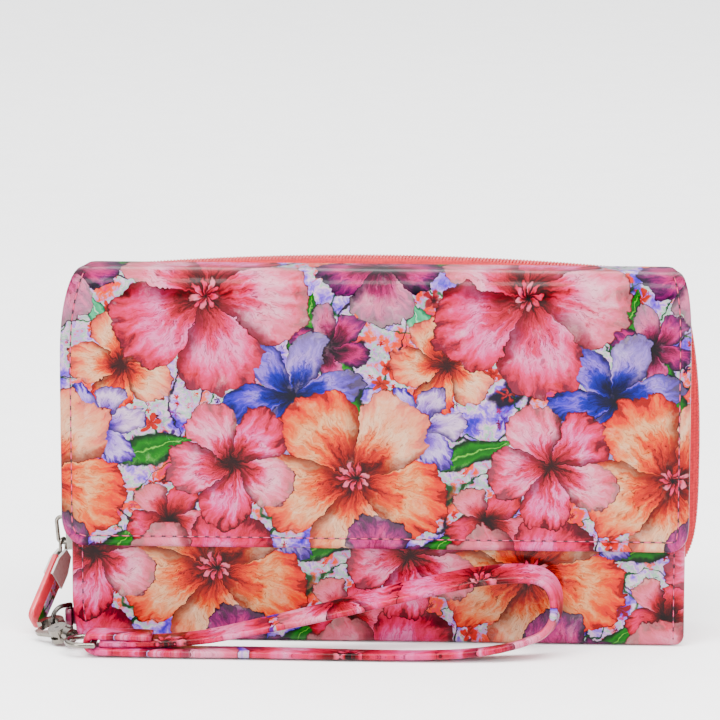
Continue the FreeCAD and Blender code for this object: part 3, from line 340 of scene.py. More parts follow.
def new_material(name, **shader):
    """A material with one principled shader, whose fixed values are set on its own sockets. It comes with
    the function that adds a node to it."""
    made = bpy.data.materials.new(name)
    made.use_nodes = True
    tree = made.node_tree
    tree.nodes.clear()
    surface = tree.nodes.new("ShaderNodeBsdfPrincipled")
    for socket, value in shader.items():
        surface.inputs[socket.replace("_", " ")].default_value = value
    add_node(tree, "OutputMaterial", [surface.outputs[0]])
    return made, partial(add_node, tree), surface


def wire(surface, **sockets):
    """Links outputs to the shader's sockets."""
    for socket, value in sockets.items():
        surface.id_data.links.new(value, surface.inputs[socket.replace("_", " ")])


# ---- the floral print
REPEAT = 100     # the print repeats after this many millimetres, both ways


def from_spot(add, where, spot):
    """The way from a spot of the print to each place, by the nearest of the spot's repeats."""
    near = add("VectorMath SUBTRACT", [where, (spot[0], spot[1], 0)])
    return add("VectorMath WRAP", [near, (REPEAT / 2,) * 3, (-REPEAT / 2,) * 3])


def parts_of(add, near):
    """The x and the y of a way."""
    x = add("VectorMath DOT_PRODUCT", [near, (1, 0, 0)], "Value")
    return x, add("VectorMath DOT_PRODUCT", [near, (0, 1, 0)], "Value")


def bloom(add, ground, where, spot, size, turn, petals, notch, blunt, hues, line, streak):
    """Paints one open flower over the ground. Round its spot, wrapped on the print's repeat, the angle is
    counted in petals; a petal's outline is size times (notch + (1 - notch) sin(pi t) to the power blunt),
    ruffled by a noise. Colours follow the share of the way out, drawn out into streaks. Each petal has its
    own paleness, a shade where it lies under the next one, thin veins, and a broken ink line round it."""
    near = from_spot(add, where, spot)
    x, y = parts_of(add, near)
    far = add("VectorMath LENGTH", [near], "Value")
    angle = add("Math ARCTAN2", [y, x])
    count = add("Math MULTIPLY_ADD", [angle, petals / (2 * math.pi), petals * (1 - turn / 360)])
    part = add("Math FRACT", [count])
    which = add("Math FLOORED_MODULO", [add("Math FLOOR", [count]), petals])
    own = add("Math SINE", [add("Math MULTIPLY_ADD", [which, 2.4, spot[0]])])
    own = add("Math MULTIPLY_ADD", [own, 0.5, 0.5])
    way = add("VectorMath NORMALIZE", [near])
    ruffle = add("VectorMath MULTIPLY_ADD", [way, (3, 3, 3), (spot[0], spot[1], size)])
    ruffle = add("TexNoise", [ruffle, None, 1.7, 2, 0.6])
    lobe = add("Math SINE", [add("Math MULTIPLY", [part, math.pi])])
    rim = add("Math POWER", [lobe, blunt])
    rim = add("Math MULTIPLY_ADD", [rim, (1 - notch) * size, notch * size])
    rim = add("Math MULTIPLY", [rim, add("Math MULTIPLY_ADD", [ruffle, 0.3, 0.85])])
    share = add("Math DIVIDE", [far, rim])
    inset = add("Math SUBTRACT", [rim, far])
    grain = add("CombineXYZ", [spot[0], spot[1], add("Math MULTIPLY", [far, 0.05])])
    grain = add("VectorMath MULTIPLY_ADD", [way, (5, 5, 5), grain])
    vein = add("TexNoise", [grain, None, 1.6, 4, 0.66])
    tone = add("Math MULTIPLY_ADD", [add("Math SUBTRACT", [vein, 0.5]), streak * 2, share])
    paint = add("ValToRGB", [tone], stops=hues)
    wet = add("MapRange", [share, 0.3, 0.62, 0, 0.5])
    wet = add("Math MULTIPLY", [wet, own])
    paint = add("MixRGB", [wet, paint, colour("#FFF1E8")])
    # Ink: veins fade outwards, the line between petals is 0.3 mm wide with a soft shade beside it, and the
    # outline comes and goes with the ruffle.
    thin = add("TexNoise", [grain, None, 4.5, 1, 0.5])
    thin = add("Math ABSOLUTE", [add("Math SUBTRACT", [thin, 0.5])])
    thin = add("MapRange", [thin, 0.0, 0.03, 0.75, 0])
    fade = add("MapRange", [share, 0.35, 0.9, 1, 0])
    thin = add("Math MULTIPLY", [thin, fade])
    under = add("Math MULTIPLY", [part, add("Math MULTIPLY", [far, 2 * math.pi / petals])])
    shade = add("MapRange", [under, 0, size * 0.17, 0.62, 0], interpolation_type="SMOOTHSTEP")
    joint = add("MapRange", [under, 0.18, 0.45, 0.9, 0])
    edge = add("MapRange", [inset, 0.15, 0.5, 0.9, 0])
    broken = add("MapRange", [ruffle, 0.4, 0.52, 0.15, 1])
    edge = add("Math MULTIPLY", [edge, broken])
    ink = add("Math MAXIMUM", [add("Math MAXIMUM", [joint, edge]), thin])
    paint = add("MixRGB", [add("Math MAXIMUM", [ink, shade]), paint, colour(line)])
    cover = add("MapRange", [inset, -0.12, 0.12, 0, 1])
    return add("MixRGB", [cover, ground, paint])


def leaf(add, ground, where, spot, size, turn, hues):
    """Paints one pointed leaf: across its axis it is as wide as the sine of the way along it, with a pale
    vein."""
    near = from_spot(add, where, spot)
    near = add("VectorRotate", {"Vector": near, "Angle": -math.radians(turn)}, rotation_type="Z_AXIS")
    x, y = parts_of(add, near)
    along = add("MapRange", [x, -size[0] / 2, size[0] / 2, 0, math.pi])
    half = add("Math MULTIPLY", [add("Math SINE", [along]), size[1]])
    side = add("Math ABSOLUTE", [y])
    share = add("Math DIVIDE", [side, add("Math MAXIMUM", [half, 0.01])])
    paint = add("ValToRGB", [share], stops=hues)
    cover = add("MapRange", [share, 0.9, 1.02, 1, 0])
    return add("MixRGB", [cover, ground, paint])


# Each flower's colours from its throat to its rim, and each leaf's from its vein to its edge.
PINK = [(0.0, "#3E0212"), (0.1, "#8A0838"), (0.22, "#D01468"), (0.38, "#EC4A9A"), (0.6, "#FBC0E0"),
        (0.8, "#F468AE"), (0.93, "#D81C7A"), (1.0, "#9E0A5C")]
CORAL = [(0.0, "#4A0A08"), (0.13, "#8E1C12"), (0.26, "#D8482A"), (0.42, "#F79A66"), (0.64, "#FBDCC0"),
         (0.84, "#F9AE86"), (0.96, "#F0684E"), (1.0, "#C43A32")]
VIOLET = [(0.0, "#140C48"), (0.2, "#2E1E92"), (0.42, "#4E48CC"), (0.62, "#BEA8F2"), (0.8, "#8670E0"),
          (0.93, "#4A2EB0"), (1.0, "#2C1678")]
LILAC = [(0.0, "#3E1268"), (0.2, "#7640B0"), (0.5, "#C3A8EC"), (0.78, "#E4D8F7"), (0.93, "#9A74D8"),
         (1.0, "#5A389C")]
MAGENTA = [(0.0, "#2E0234"), (0.22, "#74085E"), (0.45, "#B41084"), (0.66, "#E060B4"), (0.86, "#9A188E"),
           (1.0, "#4A085C")]
ROSE = [(0.0, "#44020F"), (0.2, "#9C0A3C"), (0.42, "#DA1A6C"), (0.7, "#F66CB2"), (0.9, "#D41068"),
        (1.0, "#8A0846")]
GREEN = [(0.0, "#BFE39A"), (0.1, "#3E9A48"), (0.5, "#5CB04E"), (0.82, "#1F6E40"), (1.0, "#0C4430")]
TEAL = [(0.0, "#E4F5E2"), (0.12, "#7CC9AE"), (0.6, "#9CDCC0"), (0.9, "#3F9A80"), (1.0, "#186050")]


def florets(add, ground, where, scale, size, share):
    """Scatters small five-petalled florets, one to a cell of an even jumble: each is a wavy circle round
    its cell's own point, in a colour picked by the cell."""
    cells = add("TexVoronoi", {"Vector": where, "Scale": scale, "Randomness": 0.8}).node.outputs
    near = add("VectorMath SUBTRACT", [where, cells["Position"]])
    x, y = parts_of(add, near)
    picks = add("SeparateColor", [cells["Color"]]).node.outputs
    angle = add("Math ARCTAN2", [y, x])
    angle = add("Math MULTIPLY_ADD", [picks[2], 2 * math.pi, angle])
    lobe = add("Math COSINE", [add("Math MULTIPLY", [angle, 2.5])])
    lobe = add("Math MULTIPLY_ADD", [add("Math ABSOLUTE", [lobe]), 0.6 * size, 0.4 * size])
    far = add("VectorMath LENGTH", [near], "Value")
    way = add("Math DIVIDE", [far, lobe])
    some = add("Math GREATER_THAN", [picks[0], 1 - share])
    cover = add("MapRange", [way, 0.85, 1.05, 1, 0])
    cover = add("Math MULTIPLY", [cover, some])
    tone = add("ValToRGB", [picks[1]], stops=[
        (0.0, "#5A1B86"), (0.18, "#C41A52"), (0.34, "#F0682C"), (0.5, "#D81C58"), (0.66, "#8A55D0"),
        (0.82, "#F28A4A"), (1.0, "#3C52B8")])
    heart = add("MapRange", [way, 0.1, 0.55, 0.75, 0])
    tone = add("MixRGB", [heart, tone, colour("#3A0A2E")])
    return add("MixRGB", [cover, ground, tone])


def paint_print(add, where):
    """The whole floral print: washes of pale colour, stems, florets and dots, leaves, then the larger
    flowers, all pushed about by a slow noise so that no outline is exact, and soaked with uneven
    pigment."""
    sway = add("TexNoise", [where, None, 0.1, 4, 0.62], "Color")
    sway = add("VectorMath SUBTRACT", [sway, (0.5, 0.5, 0.5)])
    where = add("VectorMath MULTIPLY_ADD", [sway, (8, 8, 0), where])
    wash = add("TexNoise", [where, None, 0.075, 5, 0.7])
    sheet = add("ValToRGB", [wash], stops=[
        (0.26, "#6A38C0"), (0.35, "#9A72E0"), (0.42, "#CAB2F0"), (0.48, "#F3E0EE"), (0.51, "#C8E2CE"),
        (0.54, "#E4C8F0"), (0.59, "#FAA884"), (0.65, "#EE6CA6"), (0.8, "#8C62D8")])
    sheet = florets(add, sheet, where, 0.3, 1.25, 0.55)
    for scale, tone in ((0.034, "#3B2347"), (0.045, "#2E7A46")):
        stem = add("TexNoise", [where, None, scale, 1.5, 0.4])
        stem = add("Math ABSOLUTE", [add("Math SUBTRACT", [stem, 0.52])])
        stem = add("MapRange", [stem, 0.003, 0.008, 0.9, 0])
        sheet = add("MixRGB", [stem, sheet, colour(tone)])
    sheet = florets(add, sheet, where, 0.11, 3.4, 0.8)
    # Leaves: spot, length and half width in millimetres, turn in degrees.
    for spot, size, turn, hues in (
            ((34, 92), (36, 6), 50, GREEN), ((70, 62), (32, 5), -35, TEAL), ((12, 48), (28, 5), 100, GREEN),
            ((50, 30), (32, 4.5), 15, GREEN), ((88, 18), (28, 5), 130, TEAL), ((66, 98), (30, 5), -10, GREEN),
            ((36, 70), (24, 4), -60, TEAL), ((98, 70), (24, 4), 70, GREEN)):
        sheet = leaf(add, sheet, where, spot, size, turn, hues)
    # Flowers: spot and radius in millimetres, turn in degrees, petals, notch, blunt, colours, ink and
    # streak.
    for flower in (
            ((56, 8), 14, 20, 5, 0.5, 0.6, ROSE, "#5A0624", 0.4),
            ((6, 64), 14, 10, 6, 0.45, 0.6, MAGENTA, "#34083E", 0.4),
            ((95, 48), 22, 40, 6, 0.35, 0.7, VIOLET, "#14105A", 0.5),
            ((42, 58), 17, 0, 5, 0.55, 0.5, CORAL, "#7A1A10", 0.4),
            ((34, 38), 15, 35, 6, 0.5, 0.6, LILAC, "#3A1C7C", 0.4),
            ((14, 22), 30, 15, 5, 0.66, 0.45, CORAL, "#7E2012", 0.42),
            ((68, 80), 32, 30, 5, 0.64, 0.42, PINK, "#7A0C34", 0.42),
            ((22, 90), 20, 50, 4, 0.62, 0.5, MAGENTA, "#300440", 0.5),
            ((76, 26), 21, 80, 5, 0.55, 0.5, PINK, "#6E0A2A", 0.5),
            ((14, 22), 5, 0, 9, 0.2, 0.8, ROSE, "#3E0410", 0.3),
            ((68, 80), 5, 10, 9, 0.2, 0.8, ROSE, "#3E0414", 0.3)):
        sheet = bloom(add, sheet, where, *flower)
    # Pigment: paler, wetter patches and pools of stronger colour about 8 mm across, with finer grain in
    # both.
    soak = add("TexNoise", [where, None, 0.12, 6, 0.72])
    pale = add("MapRange", [soak, 0.54, 0.72, 0, 0.5])
    sheet = add("MixRGB", [pale, sheet, colour("#FDEFE6")], blend_type="SCREEN")
    deep = add("MapRange", [soak, 0.46, 0.3, 0, 0.75])
    sheet = add("MixRGB", [deep, sheet, sheet], blend_type="MULTIPLY")
    sheet = add("HueSaturation", {"Color": sheet, "Saturation": 1.22, "Value": 0.67})
    return add("Gamma", [sheet, 2.1])


def printed_pu():
    """PU-coated cloth, printed and then laminated with a clear film: saturated inks under a wet-looking
    gloss."""
    made, add, surface = new_material(
        "printed_coated_cloth", Roughness=0.3, IOR=1.33, Specular_IOR_Level=0.12, Coat_Weight=0.15,
        Coat_Roughness=0.1, Coat_IOR=1.4)
    cloth = add("UVMap", uv_map="cloth")
    where = add("VectorMath SCALE", {0: cloth, "Scale": CLOTH_UNIT})
    wire(surface, Base_Color=paint_print(add, where))
    # The film follows the woven backing: soft pimples about 1.2 mm apart, and slow waves 14 mm long.
    fine = add("TexNoise", [where, None, 0.8, 2])
    slow = add("TexNoise", [where, None, 0.07, 2])
    bump = add("Bump", {"Strength": 0.12, "Distance": 0.0004, "Height": fine})
    bump = add("Bump", {"Strength": 0.35, "Distance": 0.002, "Height": slow, "Normal": bump})
    wire(surface, Normal=bump, Coat_Normal=bump)
    return made


def woven(name, low, high, spacing):
    """Plain-woven polyester: threads a spacing apart cross over and under, matt, with a little sheen."""
    made, add, surface = new_material(name, Roughness=0.75, IOR=1.35, Specular_IOR_Level=0.3,
                                      Sheen_Weight=0.02, Sheen_Roughness=0.4)
    place = add("TexCoord", out="Object")
    # One wave of this texture takes two threads. At scale 1 it is about 1 / 3.14 m long.
    scale = 1 / (2 * spacing * MM) / 3.14
    warp, weft = (add("TexWave", {"Vector": place, "Scale": scale, "Distortion": 0.3, "Detail": 1,
                                  "Detail Scale": 1.5}, "Fac", bands_direction=way, wave_profile="SIN")
                  for way in "XZ")
    cross = add("Math MULTIPLY", [warp, weft])
    slub = add("TexNoise", [place, None, 900, 3])
    tone = add("Math MULTIPLY_ADD", [cross, 0.5, slub])
    wire(surface, Base_Color=add("ValToRGB", [tone], stops=[(0.3, low), (0.9, high)]))
    wire(surface, Normal=add("Bump", {"Strength": 0.5, "Distance": 0.0001, "Height": tone}))
    return made


def plated(name, tint, spots, roughness, metallic=1.0):
    """Nickel plate on tumbled zinc: bright, with faint scratches and duller patches from handling. Under a
    cloudy lacquer it is less metallic: pale and satin, with hardly a mirror image."""
    made, add, surface = new_material(name, Metallic=metallic)
    place = add("TexCoord", out="Object")
    wear = add("TexNoise", [place, None, 900, 3, 0.6])
    wire(surface, Base_Color=add("ValToRGB", [wear], stops=[(0.28, spots), (0.5, tint)]))
    wire(surface, Roughness=add("MapRange", [wear, 0.3, 0.7, roughness * 1.7, roughness]))
    scratch = add("Mapping", {"Vector": place, "Scale": (400, 9000, 400)})
    scratch = add("TexNoise", [scratch, None, 1, 2])
    wire(surface, Normal=add("Bump", {"Strength": 0.06, "Distance": 0.0001, "Height": scratch}))
    return made


def smooth_leather(name, low, high):
    """Split leather with a pressed PU finish: fine pebbles half a millimetre across and a waxy shine."""
    made, add, surface = new_material(name, Roughness=0.3, IOR=1.5, Coat_Weight=0.35, Coat_Roughness=0.15)
    place = add("TexCoord", out="Object")
    pebble = add("TexVoronoi", {"Vector": place, "Scale": 1600}, feature="F1")
    mottle = add("TexNoise", [place, None, 260, 4])
    wire(surface, Base_Color=add("ValToRGB", [mottle], stops=[(0.3, low), (0.7, high)]))
    wire(surface, Normal=add("Bump", {"Strength": 0.25, "Distance": 0.0001, "Height": pebble}))
    return made


def nylon(name, low, high):
    """Dyed nylon monofilament, heat-set into a coil: satin, a little see-through, uneven in colour."""
    made, add, surface = new_material(name, Roughness=0.36, IOR=1.45, Subsurface_Weight=0.1,
                                      Subsurface_Radius=(0.001, 0.0004, 0.0004), Subsurface_Scale=1.0)
    uneven = add("TexNoise", [add("TexCoord", out="Object"), None, 700, 3])
    wire(surface, Base_Color=add("ValToRGB", [uneven], stops=[(0.3, low), (0.7, high)]))
    wire(surface, Normal=add("Bump", {"Strength": 0.15, "Distance": 0.0001, "Height": uneven}))
    return made


def sewing_thread():
    """Bonded polyester thread: coral and satin, with a painted shade for the needle hole that darkens each
    end of a stitch."""
    made, add, surface = new_material("polyester_thread", Roughness=0.5, IOR=1.45)
    along, _, _ = add("SeparateXYZ", [add("UVMap", uv_map="cloth")]).node.outputs
    # Painted shade: the colour darkens from coral to near black towards both ends of each stitch, where the
    # needle holes are.
    wire(surface, Base_Color=add("ValToRGB", [add("Math ABSOLUTE", [along])], stops=[
        (0.0, "#C22C5C"), (0.5, "#9A1C46"), (0.68, "#300818"), (0.8, "#10020A")]))
    fibre = add("TexNoise", [add("TexCoord", out="Object"), None, 5000, 1])
    wire(surface, Normal=add("Bump", {"Strength": 0.3, "Distance": 0.0001, "Height": fibre}))
    return made


def floor_card():
    """Matt white card, the studio's table: plain, with a faint tooth so that it isn't one flat value."""
    made, add, surface = new_material("matt_card", Roughness=0.8)
    tooth = add("TexNoise", [add("TexCoord", out="Object"), None, 60, 3])
    wire(surface, Base_Color=add("ValToRGB", [tooth], stops=[(0.3, "#FAFAFA"), (0.7, "#FDFDFD")]))
    return made


PRINT = printed_pu()
LINING = woven("woven_polyester_lining", "#860A18", "#B41C2C", 0.35)
TAPE = woven("woven_zip_tape", "#7C0412", "#AC0C1E", 0.5)
COIL = nylon("nylon_zip_coil", "#8E0816", "#BC1626")
THREAD = sewing_thread()
NICKEL = plated("nickel_plated_zinc", "#78726A", "#68635D", 0.17)
LACQUERED_NICKEL = plated("lacquered_nickel_sheet", "#B9B7B3", "#A5A39E", 0.46, metallic=0.1)
DARK_NICKEL = plated("dark_nickel_wire", "#4A4542", "#3A3634", 0.14)
PULL_LEATHER = smooth_leather("pressed_coral_leather", "#A8182C", "#CA3040")
TAB_LEATHER = smooth_leather("pressed_plum_leather", "#4A0824", "#74123A")
floor.data.materials.append(floor_card())

world = bpy.data.worlds.new("studio")
bpy.context.scene.world = world
world.use_nodes = True
sky = world.node_tree
height = add_node(sky, "SeparateXYZ", [add_node(sky, "TexCoord", out="Generated")]).node.outputs[2]
# A bright ceiling over darker walls: the ceiling whitens the floor, and the walls give the metal its dark
# sides.
dome = add_node(sky, "ValToRGB", [height], stops=[(0.0, "#48484A"), (0.25, "#66666A"), (0.55, "#F0F0F2"),
                                                  (1.0, "#FFFFFF")])
sky.links.new(dome, sky.nodes["Background"].inputs["Color"])
sky.nodes["Background"].inputs["Strength"].default_value = 3.4


# ---- helpers for finished pieces
def finish_piece(piece, material, slot, body=None, stands_for=()):
    """Gives a piece its material, the body that it rides on, and the solids that it stands for. The slot is
    not used.
    """
    piece.data.materials.clear()
    piece.data.materials.append(material)
    if body:
        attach(piece, body)
    if stands_for:
        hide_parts(*stands_for)


def node_box(node):
    """A solid's lowest and highest corners in millimetres."""
    low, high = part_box(node)
    return np.array(low) / MM, np.array(high) / MM


def over_solid(node, name, body, material=LINING, slot="lining", forward=0.0, **shape):
    """A flat sewn panel in its solid's place, as wide and as tall as the solid's box, at the middle of its
    depth less forward. It comes with the box's corners."""
    low, high = node_box(node)
    path = upright((low[1] + high[1]) / 2 - forward, low[2])
    piece = sewn_sheet(name, path, high[2] - low[2], low[0], high[0], **shape)
    finish_piece(piece, material, slot, body, [node])
    return piece, low, high


def sew(name, path, x, s, lift, body=None):
    """Stitches through a panel's flat places (x, s), lifted off its middle layer along the path's
    normal."""
    y, z, ny, nz = path(s)
    stitched = thread(name, stack(x, y + ny * lift, z + nz * lift), stack(np.zeros_like(x), ny, nz))
    finish_piece(stitched, THREAD, "printed_cover", body)
    return stitched


# ---- wrist strap
STRAP_ROUTE = [
    (-86.1, 1.9), (-64, 1.5), (-36, 1.7), (-6, 1.3), (23, 1.45), (42.5, 3.5), (58, 9.2),
    (57, 25), (39.5, 25.6), (15, 20.8), (-12, 14), (-35.5, 8.9), (-60, 4.2), (-84.3, 4.25),
]
STRAP_WIDTH, STRAP_THICK = 8.6, 2.3
STRAP_PRINT = (72, 0)
STRAP_LEAN = math.radians(24)     # the strap's plane leans back from level by this
EYE_Y, EYE_Z = -34.545, 4.2


def strap_line():
    """The strap's own line: a smooth spline with the route's points as its control points, read back as
    points."""
    curve = bpy.data.curves.new("strap_line", "CURVE")
    curve.dimensions = "3D"
    curve.resolution_u = 24
    spline = curve.splines.new("NURBS")
    spline.points.add(len(STRAP_ROUTE) - 1)
    for point, (x, z) in zip(spline.points, STRAP_ROUTE):
        y = EYE_Y + (z - EYE_Z) * math.tan(STRAP_LEAN)
        point.co = (x * MM, y * MM, z * MM, 1)
    spline.order_u = 3
    spline.use_endpoint_u = True
    holder = bpy.data.objects.new("strap_line", curve)
    bpy.context.scene.collection.objects.link(holder)
    line = bpy.data.meshes.new_from_object(holder)
    points = np.empty(len(line.vertices) * 3, np.float32)
    line.vertices.foreach_get("co", points)
    bpy.data.objects.remove(holder)
    return points.reshape(-1, 3).astype(float) / MM


def wrist_strap():
    """A flat band along the strap's line. It lies flat by the eye, and its outer run turns by degrees on to
    its edge, so that its broad side faces forward; the turn follows a smooth bump along the line."""
    line = strap_line()
    run = distances(line)
    way = unit(np.gradient(line, axis=0))
    level = np.tile([0.0, 1.0, 0.0], (len(line), 1))
    level = unit(level - way * (level * way).sum(1, keepdims=True))
    turn = np.radians(np.interp(run / run[-1], [0, 0.25, 0.42, 0.5, 0.56, 0.66, 0.78, 0.9, 1],
                                [0, -4, -10, -16, -24, -28, -18, -6, 0]))
    turn = np.convolve(np.pad(turn, 12, mode="edge"), np.ones(25) / 25, "valid")[:, None]
    across = level * np.cos(turn) + np.cross(way, level) * np.sin(turn)
    band = soft_bar(STRAP_WIDTH, STRAP_THICK, 7, 9, 0.12)
    piece = carry("wrist_strap_band", line, across, band, STRAP_PRINT)
    finish_piece(piece, PRINT, "printed_cover", "wrist_strap", ["strap"])


def strap_end():
    """The strap's sewn end: a band that goes round the eye's bar in a half circle, back over the strands,
    and ends in a soft cut edge."""
    low, high = node_box("strap_fold")
    r = (high[2] - low[2]) / 2 - STRAP_THICK / 2
    cx = low[0] + r + STRAP_THICK / 2
    turn = np.linspace(-QUARTER, QUARTER, 15)
    bend = stack(cx - r * np.cos(turn), EYE_Z + r * np.sin(turn))
    tail = np.linspace(cx, high[0] - 0.6, 14)[1:]
    droop = EYE_Z + r - 0.35 * ((tail - cx) / (high[0] - cx)) ** 2
    under = [[cx + 3.0, EYE_Z - r], [cx + 1.2, EYE_Z - r]]
    x, z = np.concatenate([under, bend, stack(tail, droop)]).T
    piece = carry("strap_sewn_end", stack(x, (low[1] + high[1]) / 2, z), (0, 1, 0),
                  soft_bar(STRAP_WIDTH, STRAP_THICK * 0.94, 6, 7, 0.1), STRAP_PRINT)
    finish_piece(piece, PRINT, "printed_cover", "wrist_strap", ["strap_fold"])


wrist_strap()
strap_end()


# ---- flap
flap_low, flap_high = node_box("flap_panel")
BEND = (-12.1, 111.1)     # y and z of the centre of the round over the front
FLAP_R, FLAP_TOP = 6.5, 117.6
REAR = float(node_box("flap_top_strip")[1][1])
STRIP = REAR - BEND[0]
ROUND = FLAP_R * QUARTER
FLAP_LENGTH = STRIP + ROUND + (BEND[1] - float(flap_low[2]))
FLAP_HALF = float(flap_high[0])
FLAP_THICK, FLAP_PRINT = 2.2, (20, 0)
# The flap's middle layer: level from the rear seam, a quarter circle over the front, then straight down.
flap_path = bent((REAR, FLAP_TOP), (-1, 0), (0, 1), STRIP, FLAP_R)


def at_hem(s):
    """From 0 to 1 over the flap's last millimetres."""
    return ease((s - FLAP_LENGTH + 9) / 10)


def flap_left(s):
    """The flap's left edge: 0.6 mm inside its solid's, drawn in by 7.4 mm more at the rear seam, as a bell
    curve, and by 2.2 mm more at the hem."""
    return -FLAP_HALF + 0.6 + 7.4 * np.exp(-(s / 19) ** 2) + 2.2 * at_hem(s)


def flap_right(s):
    """The flap's right edge: drawn in by 5.1 mm at the rear seam, as a bell curve, and by 1.2 mm at the
    hem."""
    return FLAP_HALF - 5.1 * np.exp(-(s / 15) ** 2) - 1.2 * at_hem(s)


# The cover is in two pieces, which meet SPLIT from the rear seam.
SPLIT, CORNER, INSET = 5.4, 5.0, 3.4
top_cover = sewn_sheet("flap_top_cover", flap_path, SPLIT, flap_left, flap_right, thick=FLAP_THICK,
                       radii=(3.2, 0), rims=(1, 0), step=2.0, print_at=FLAP_PRINT, print_turn=-1)
finish_piece(top_cover, PRINT, "printed_cover", None, ["flap_top_strip"])
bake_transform(top_cover)
front_cover = sewn_sheet("flap_cover", lambda s: flap_path(s + SPLIT), FLAP_LENGTH - SPLIT,
                         lambda s: flap_left(s + SPLIT), lambda s: flap_right(s + SPLIT), thick=FLAP_THICK,
                         pad=0.85, radii=(0, CORNER), rims=(0, 1), seam=INSET, dip=0.3, hem=0.15,
                         ripple=0.12, step=2.0, print_at=(FLAP_PRINT[0], SPLIT), print_turn=-1,
                         fade=lambda s: ease(s / 14))
finish_piece(front_cover, PRINT, "printed_cover", None, ["flap_panel"])
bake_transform(front_cover)

# The lining lies 0.35 mm proud of the flap's inner face.
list(over_solid("flap_lining", "flap_lining_cloth", "flap", forward=-0.35, thick=0.6, radii=(4, 3),
                      seam=2, dip=0.1))

# A printed strip rises out of the middle panel to the rear seam, and closes the corners beside its rounded
# top.
ROOT_Y, ROOT_FOOT, ROOT_LEFT, ROOT_RIGHT = -2.2, 106.0, -90.3, 92.9
piece = sewn_sheet("flap_root", upright(ROOT_Y, ROOT_FOOT), FLAP_TOP - 0.1 - ROOT_FOOT, ROOT_LEFT, ROOT_RIGHT,
                   thick=0.9, seam=2, print_at=FLAP_PRINT)
finish_piece(piece, PRINT, "printed_cover", "organiser")

# Stitches run down both sides from the round, round the hem's corners and along the hem.
s_side = np.linspace(14, FLAP_LENGTH - CORNER, 120)
turn = np.linspace(0, QUARTER, 8)[1:-1]
inner = CORNER - INSET
hem_left, hem_right = flap_left(FLAP_LENGTH) + CORNER, flap_right(FLAP_LENGTH) - CORNER
seam_x = np.concatenate([flap_left(s_side) + INSET, hem_left - inner * np.cos(turn),
                         np.linspace(hem_left, hem_right, 90), hem_right + inner * np.sin(turn),
                         (flap_right(s_side) - INSET)[::-1]])
seam_s = np.concatenate([s_side, FLAP_LENGTH - CORNER + inner * np.sin(turn),
                         np.full(90, FLAP_LENGTH - INSET), FLAP_LENGTH - CORNER + inner * np.cos(turn),
                         s_side[::-1]])
stitched = sew("flap_stitches", flap_path, seam_x, seam_s, 0.85)
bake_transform(stitched)


# ---- front pocket, base and back cover
front_low, front_high = node_box("front_pocket_panel")
back_low, back_high = node_box("back_panel")
COVER, COVER_THICK = 2.4, 2.3     # a panel's thickness in the solids, and its cover's here
FRONT_Y, BACK_Y = float(front_low[1]) + COVER / 2, float(back_high[1]) - COVER / 2
BASE_Z, CURVE_R = COVER / 2, 3.0 - COVER / 2
FRONT_RUN = float(front_high[2]) - CURVE_R - BASE_Z
FOOT = FRONT_RUN + CURVE_R * QUARTER
BASE_RUN, FOOT_R = 15.0, 3.6
# The front cover's middle layer: down the front, a quarter circle under, then level towards the back.
front_path = bent((FRONT_Y, float(front_high[2])), (0, -1), (-1, 0), FRONT_RUN, CURVE_R)


def front_left(s):
    """The front's left edge: it draws in by 1 mm towards the base."""
    return -front_high[0] + 1.0 * ease((s - FRONT_RUN + 10) / 10)


def front_right(s):
    """The front's right edge: it bellies out past the panel's edge, and a quarter circle rounds it into the
    base."""
    over = np.clip(s - FOOT + FOOT_R, 0, FOOT_R)
    return front_high[0] + 2.4 * ease(s / 8) - FOOT_R + np.sqrt(FOOT_R ** 2 - over ** 2)


piece = sewn_sheet("front_pocket_cover", front_path, FOOT + BASE_RUN, front_left, front_right,
                   thick=COVER_THICK, pad=0.5, rims=(1, 0), seam=INSET, dip=0.3, hem=0.1, ripple=0.1,
                   step=2.4, print_at=(64, 30), print_turn=-1,
                   fade=lambda s: np.clip((FRONT_RUN + 1 - s) / 6, 0, 1),
                   more=FOOT - FOOT_R * np.cos(np.linspace(0, QUARTER, 12)))
finish_piece(piece, PRINT, "printed_cover", "organiser", ["front_pocket_panel"])
for side, edge, inwards in (("left", front_left, INSET), ("right", front_right, -INSET)):
    s = np.linspace(2, FRONT_RUN - 1, 60)
    sew(f"front_stitches_{side}", front_path, edge(s) + inwards, s, 0.9, "organiser")

HINGE_R, BACK_CORNER, BACK_INSET = 1.2, 12.0, 3.0
BACK_START = FRONT_Y + CURVE_R + BASE_RUN
BACK_FLAT = BACK_Y - HINGE_R - BACK_START
BACK_ROUND = HINGE_R * QUARTER
BACK_RUN = float(back_high[2]) - BASE_Z - HINGE_R
# The back cover's middle layer: level under the base, a small quarter circle up, then straight up.
back_path = bent((BACK_START, BASE_Z), (1, 0), (0, -1), BACK_FLAT, HINGE_R)
piece = sewn_sheet("back_cover", back_path, BACK_FLAT + BACK_ROUND + BACK_RUN, float(back_low[0]),
                   float(back_high[0]), thick=COVER_THICK, pad=0.5, radii=(0, BACK_CORNER), rims=(0, 1),
                   dip=0.3, hem=0.12, ripple=0.1, step=2.4, print_at=(10, 0),
                   fade=lambda s: np.clip((s - BACK_FLAT - BACK_ROUND) / 6, 0, 1))
finish_piece(piece, PRINT, "printed_cover", None, ["back_panel"])
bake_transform(piece)

# The back cover's own lining lies on its inner face, this far inside its edges.
LINED = 1.6
low, high = (back_low[0] + LINED, 0, 4.0), (back_high[0] - LINED, 0, back_high[2] - LINED)
piece = sewn_sheet("back_lining_cloth", upright(BACK_Y - 1.3, low[2]), high[2] - low[2], low[0], high[0],
                   thick=0.5, radii=(0, BACK_CORNER - LINED), seam=2, dip=0.1)
finish_piece(piece, LINING, "lining", "back_shell")

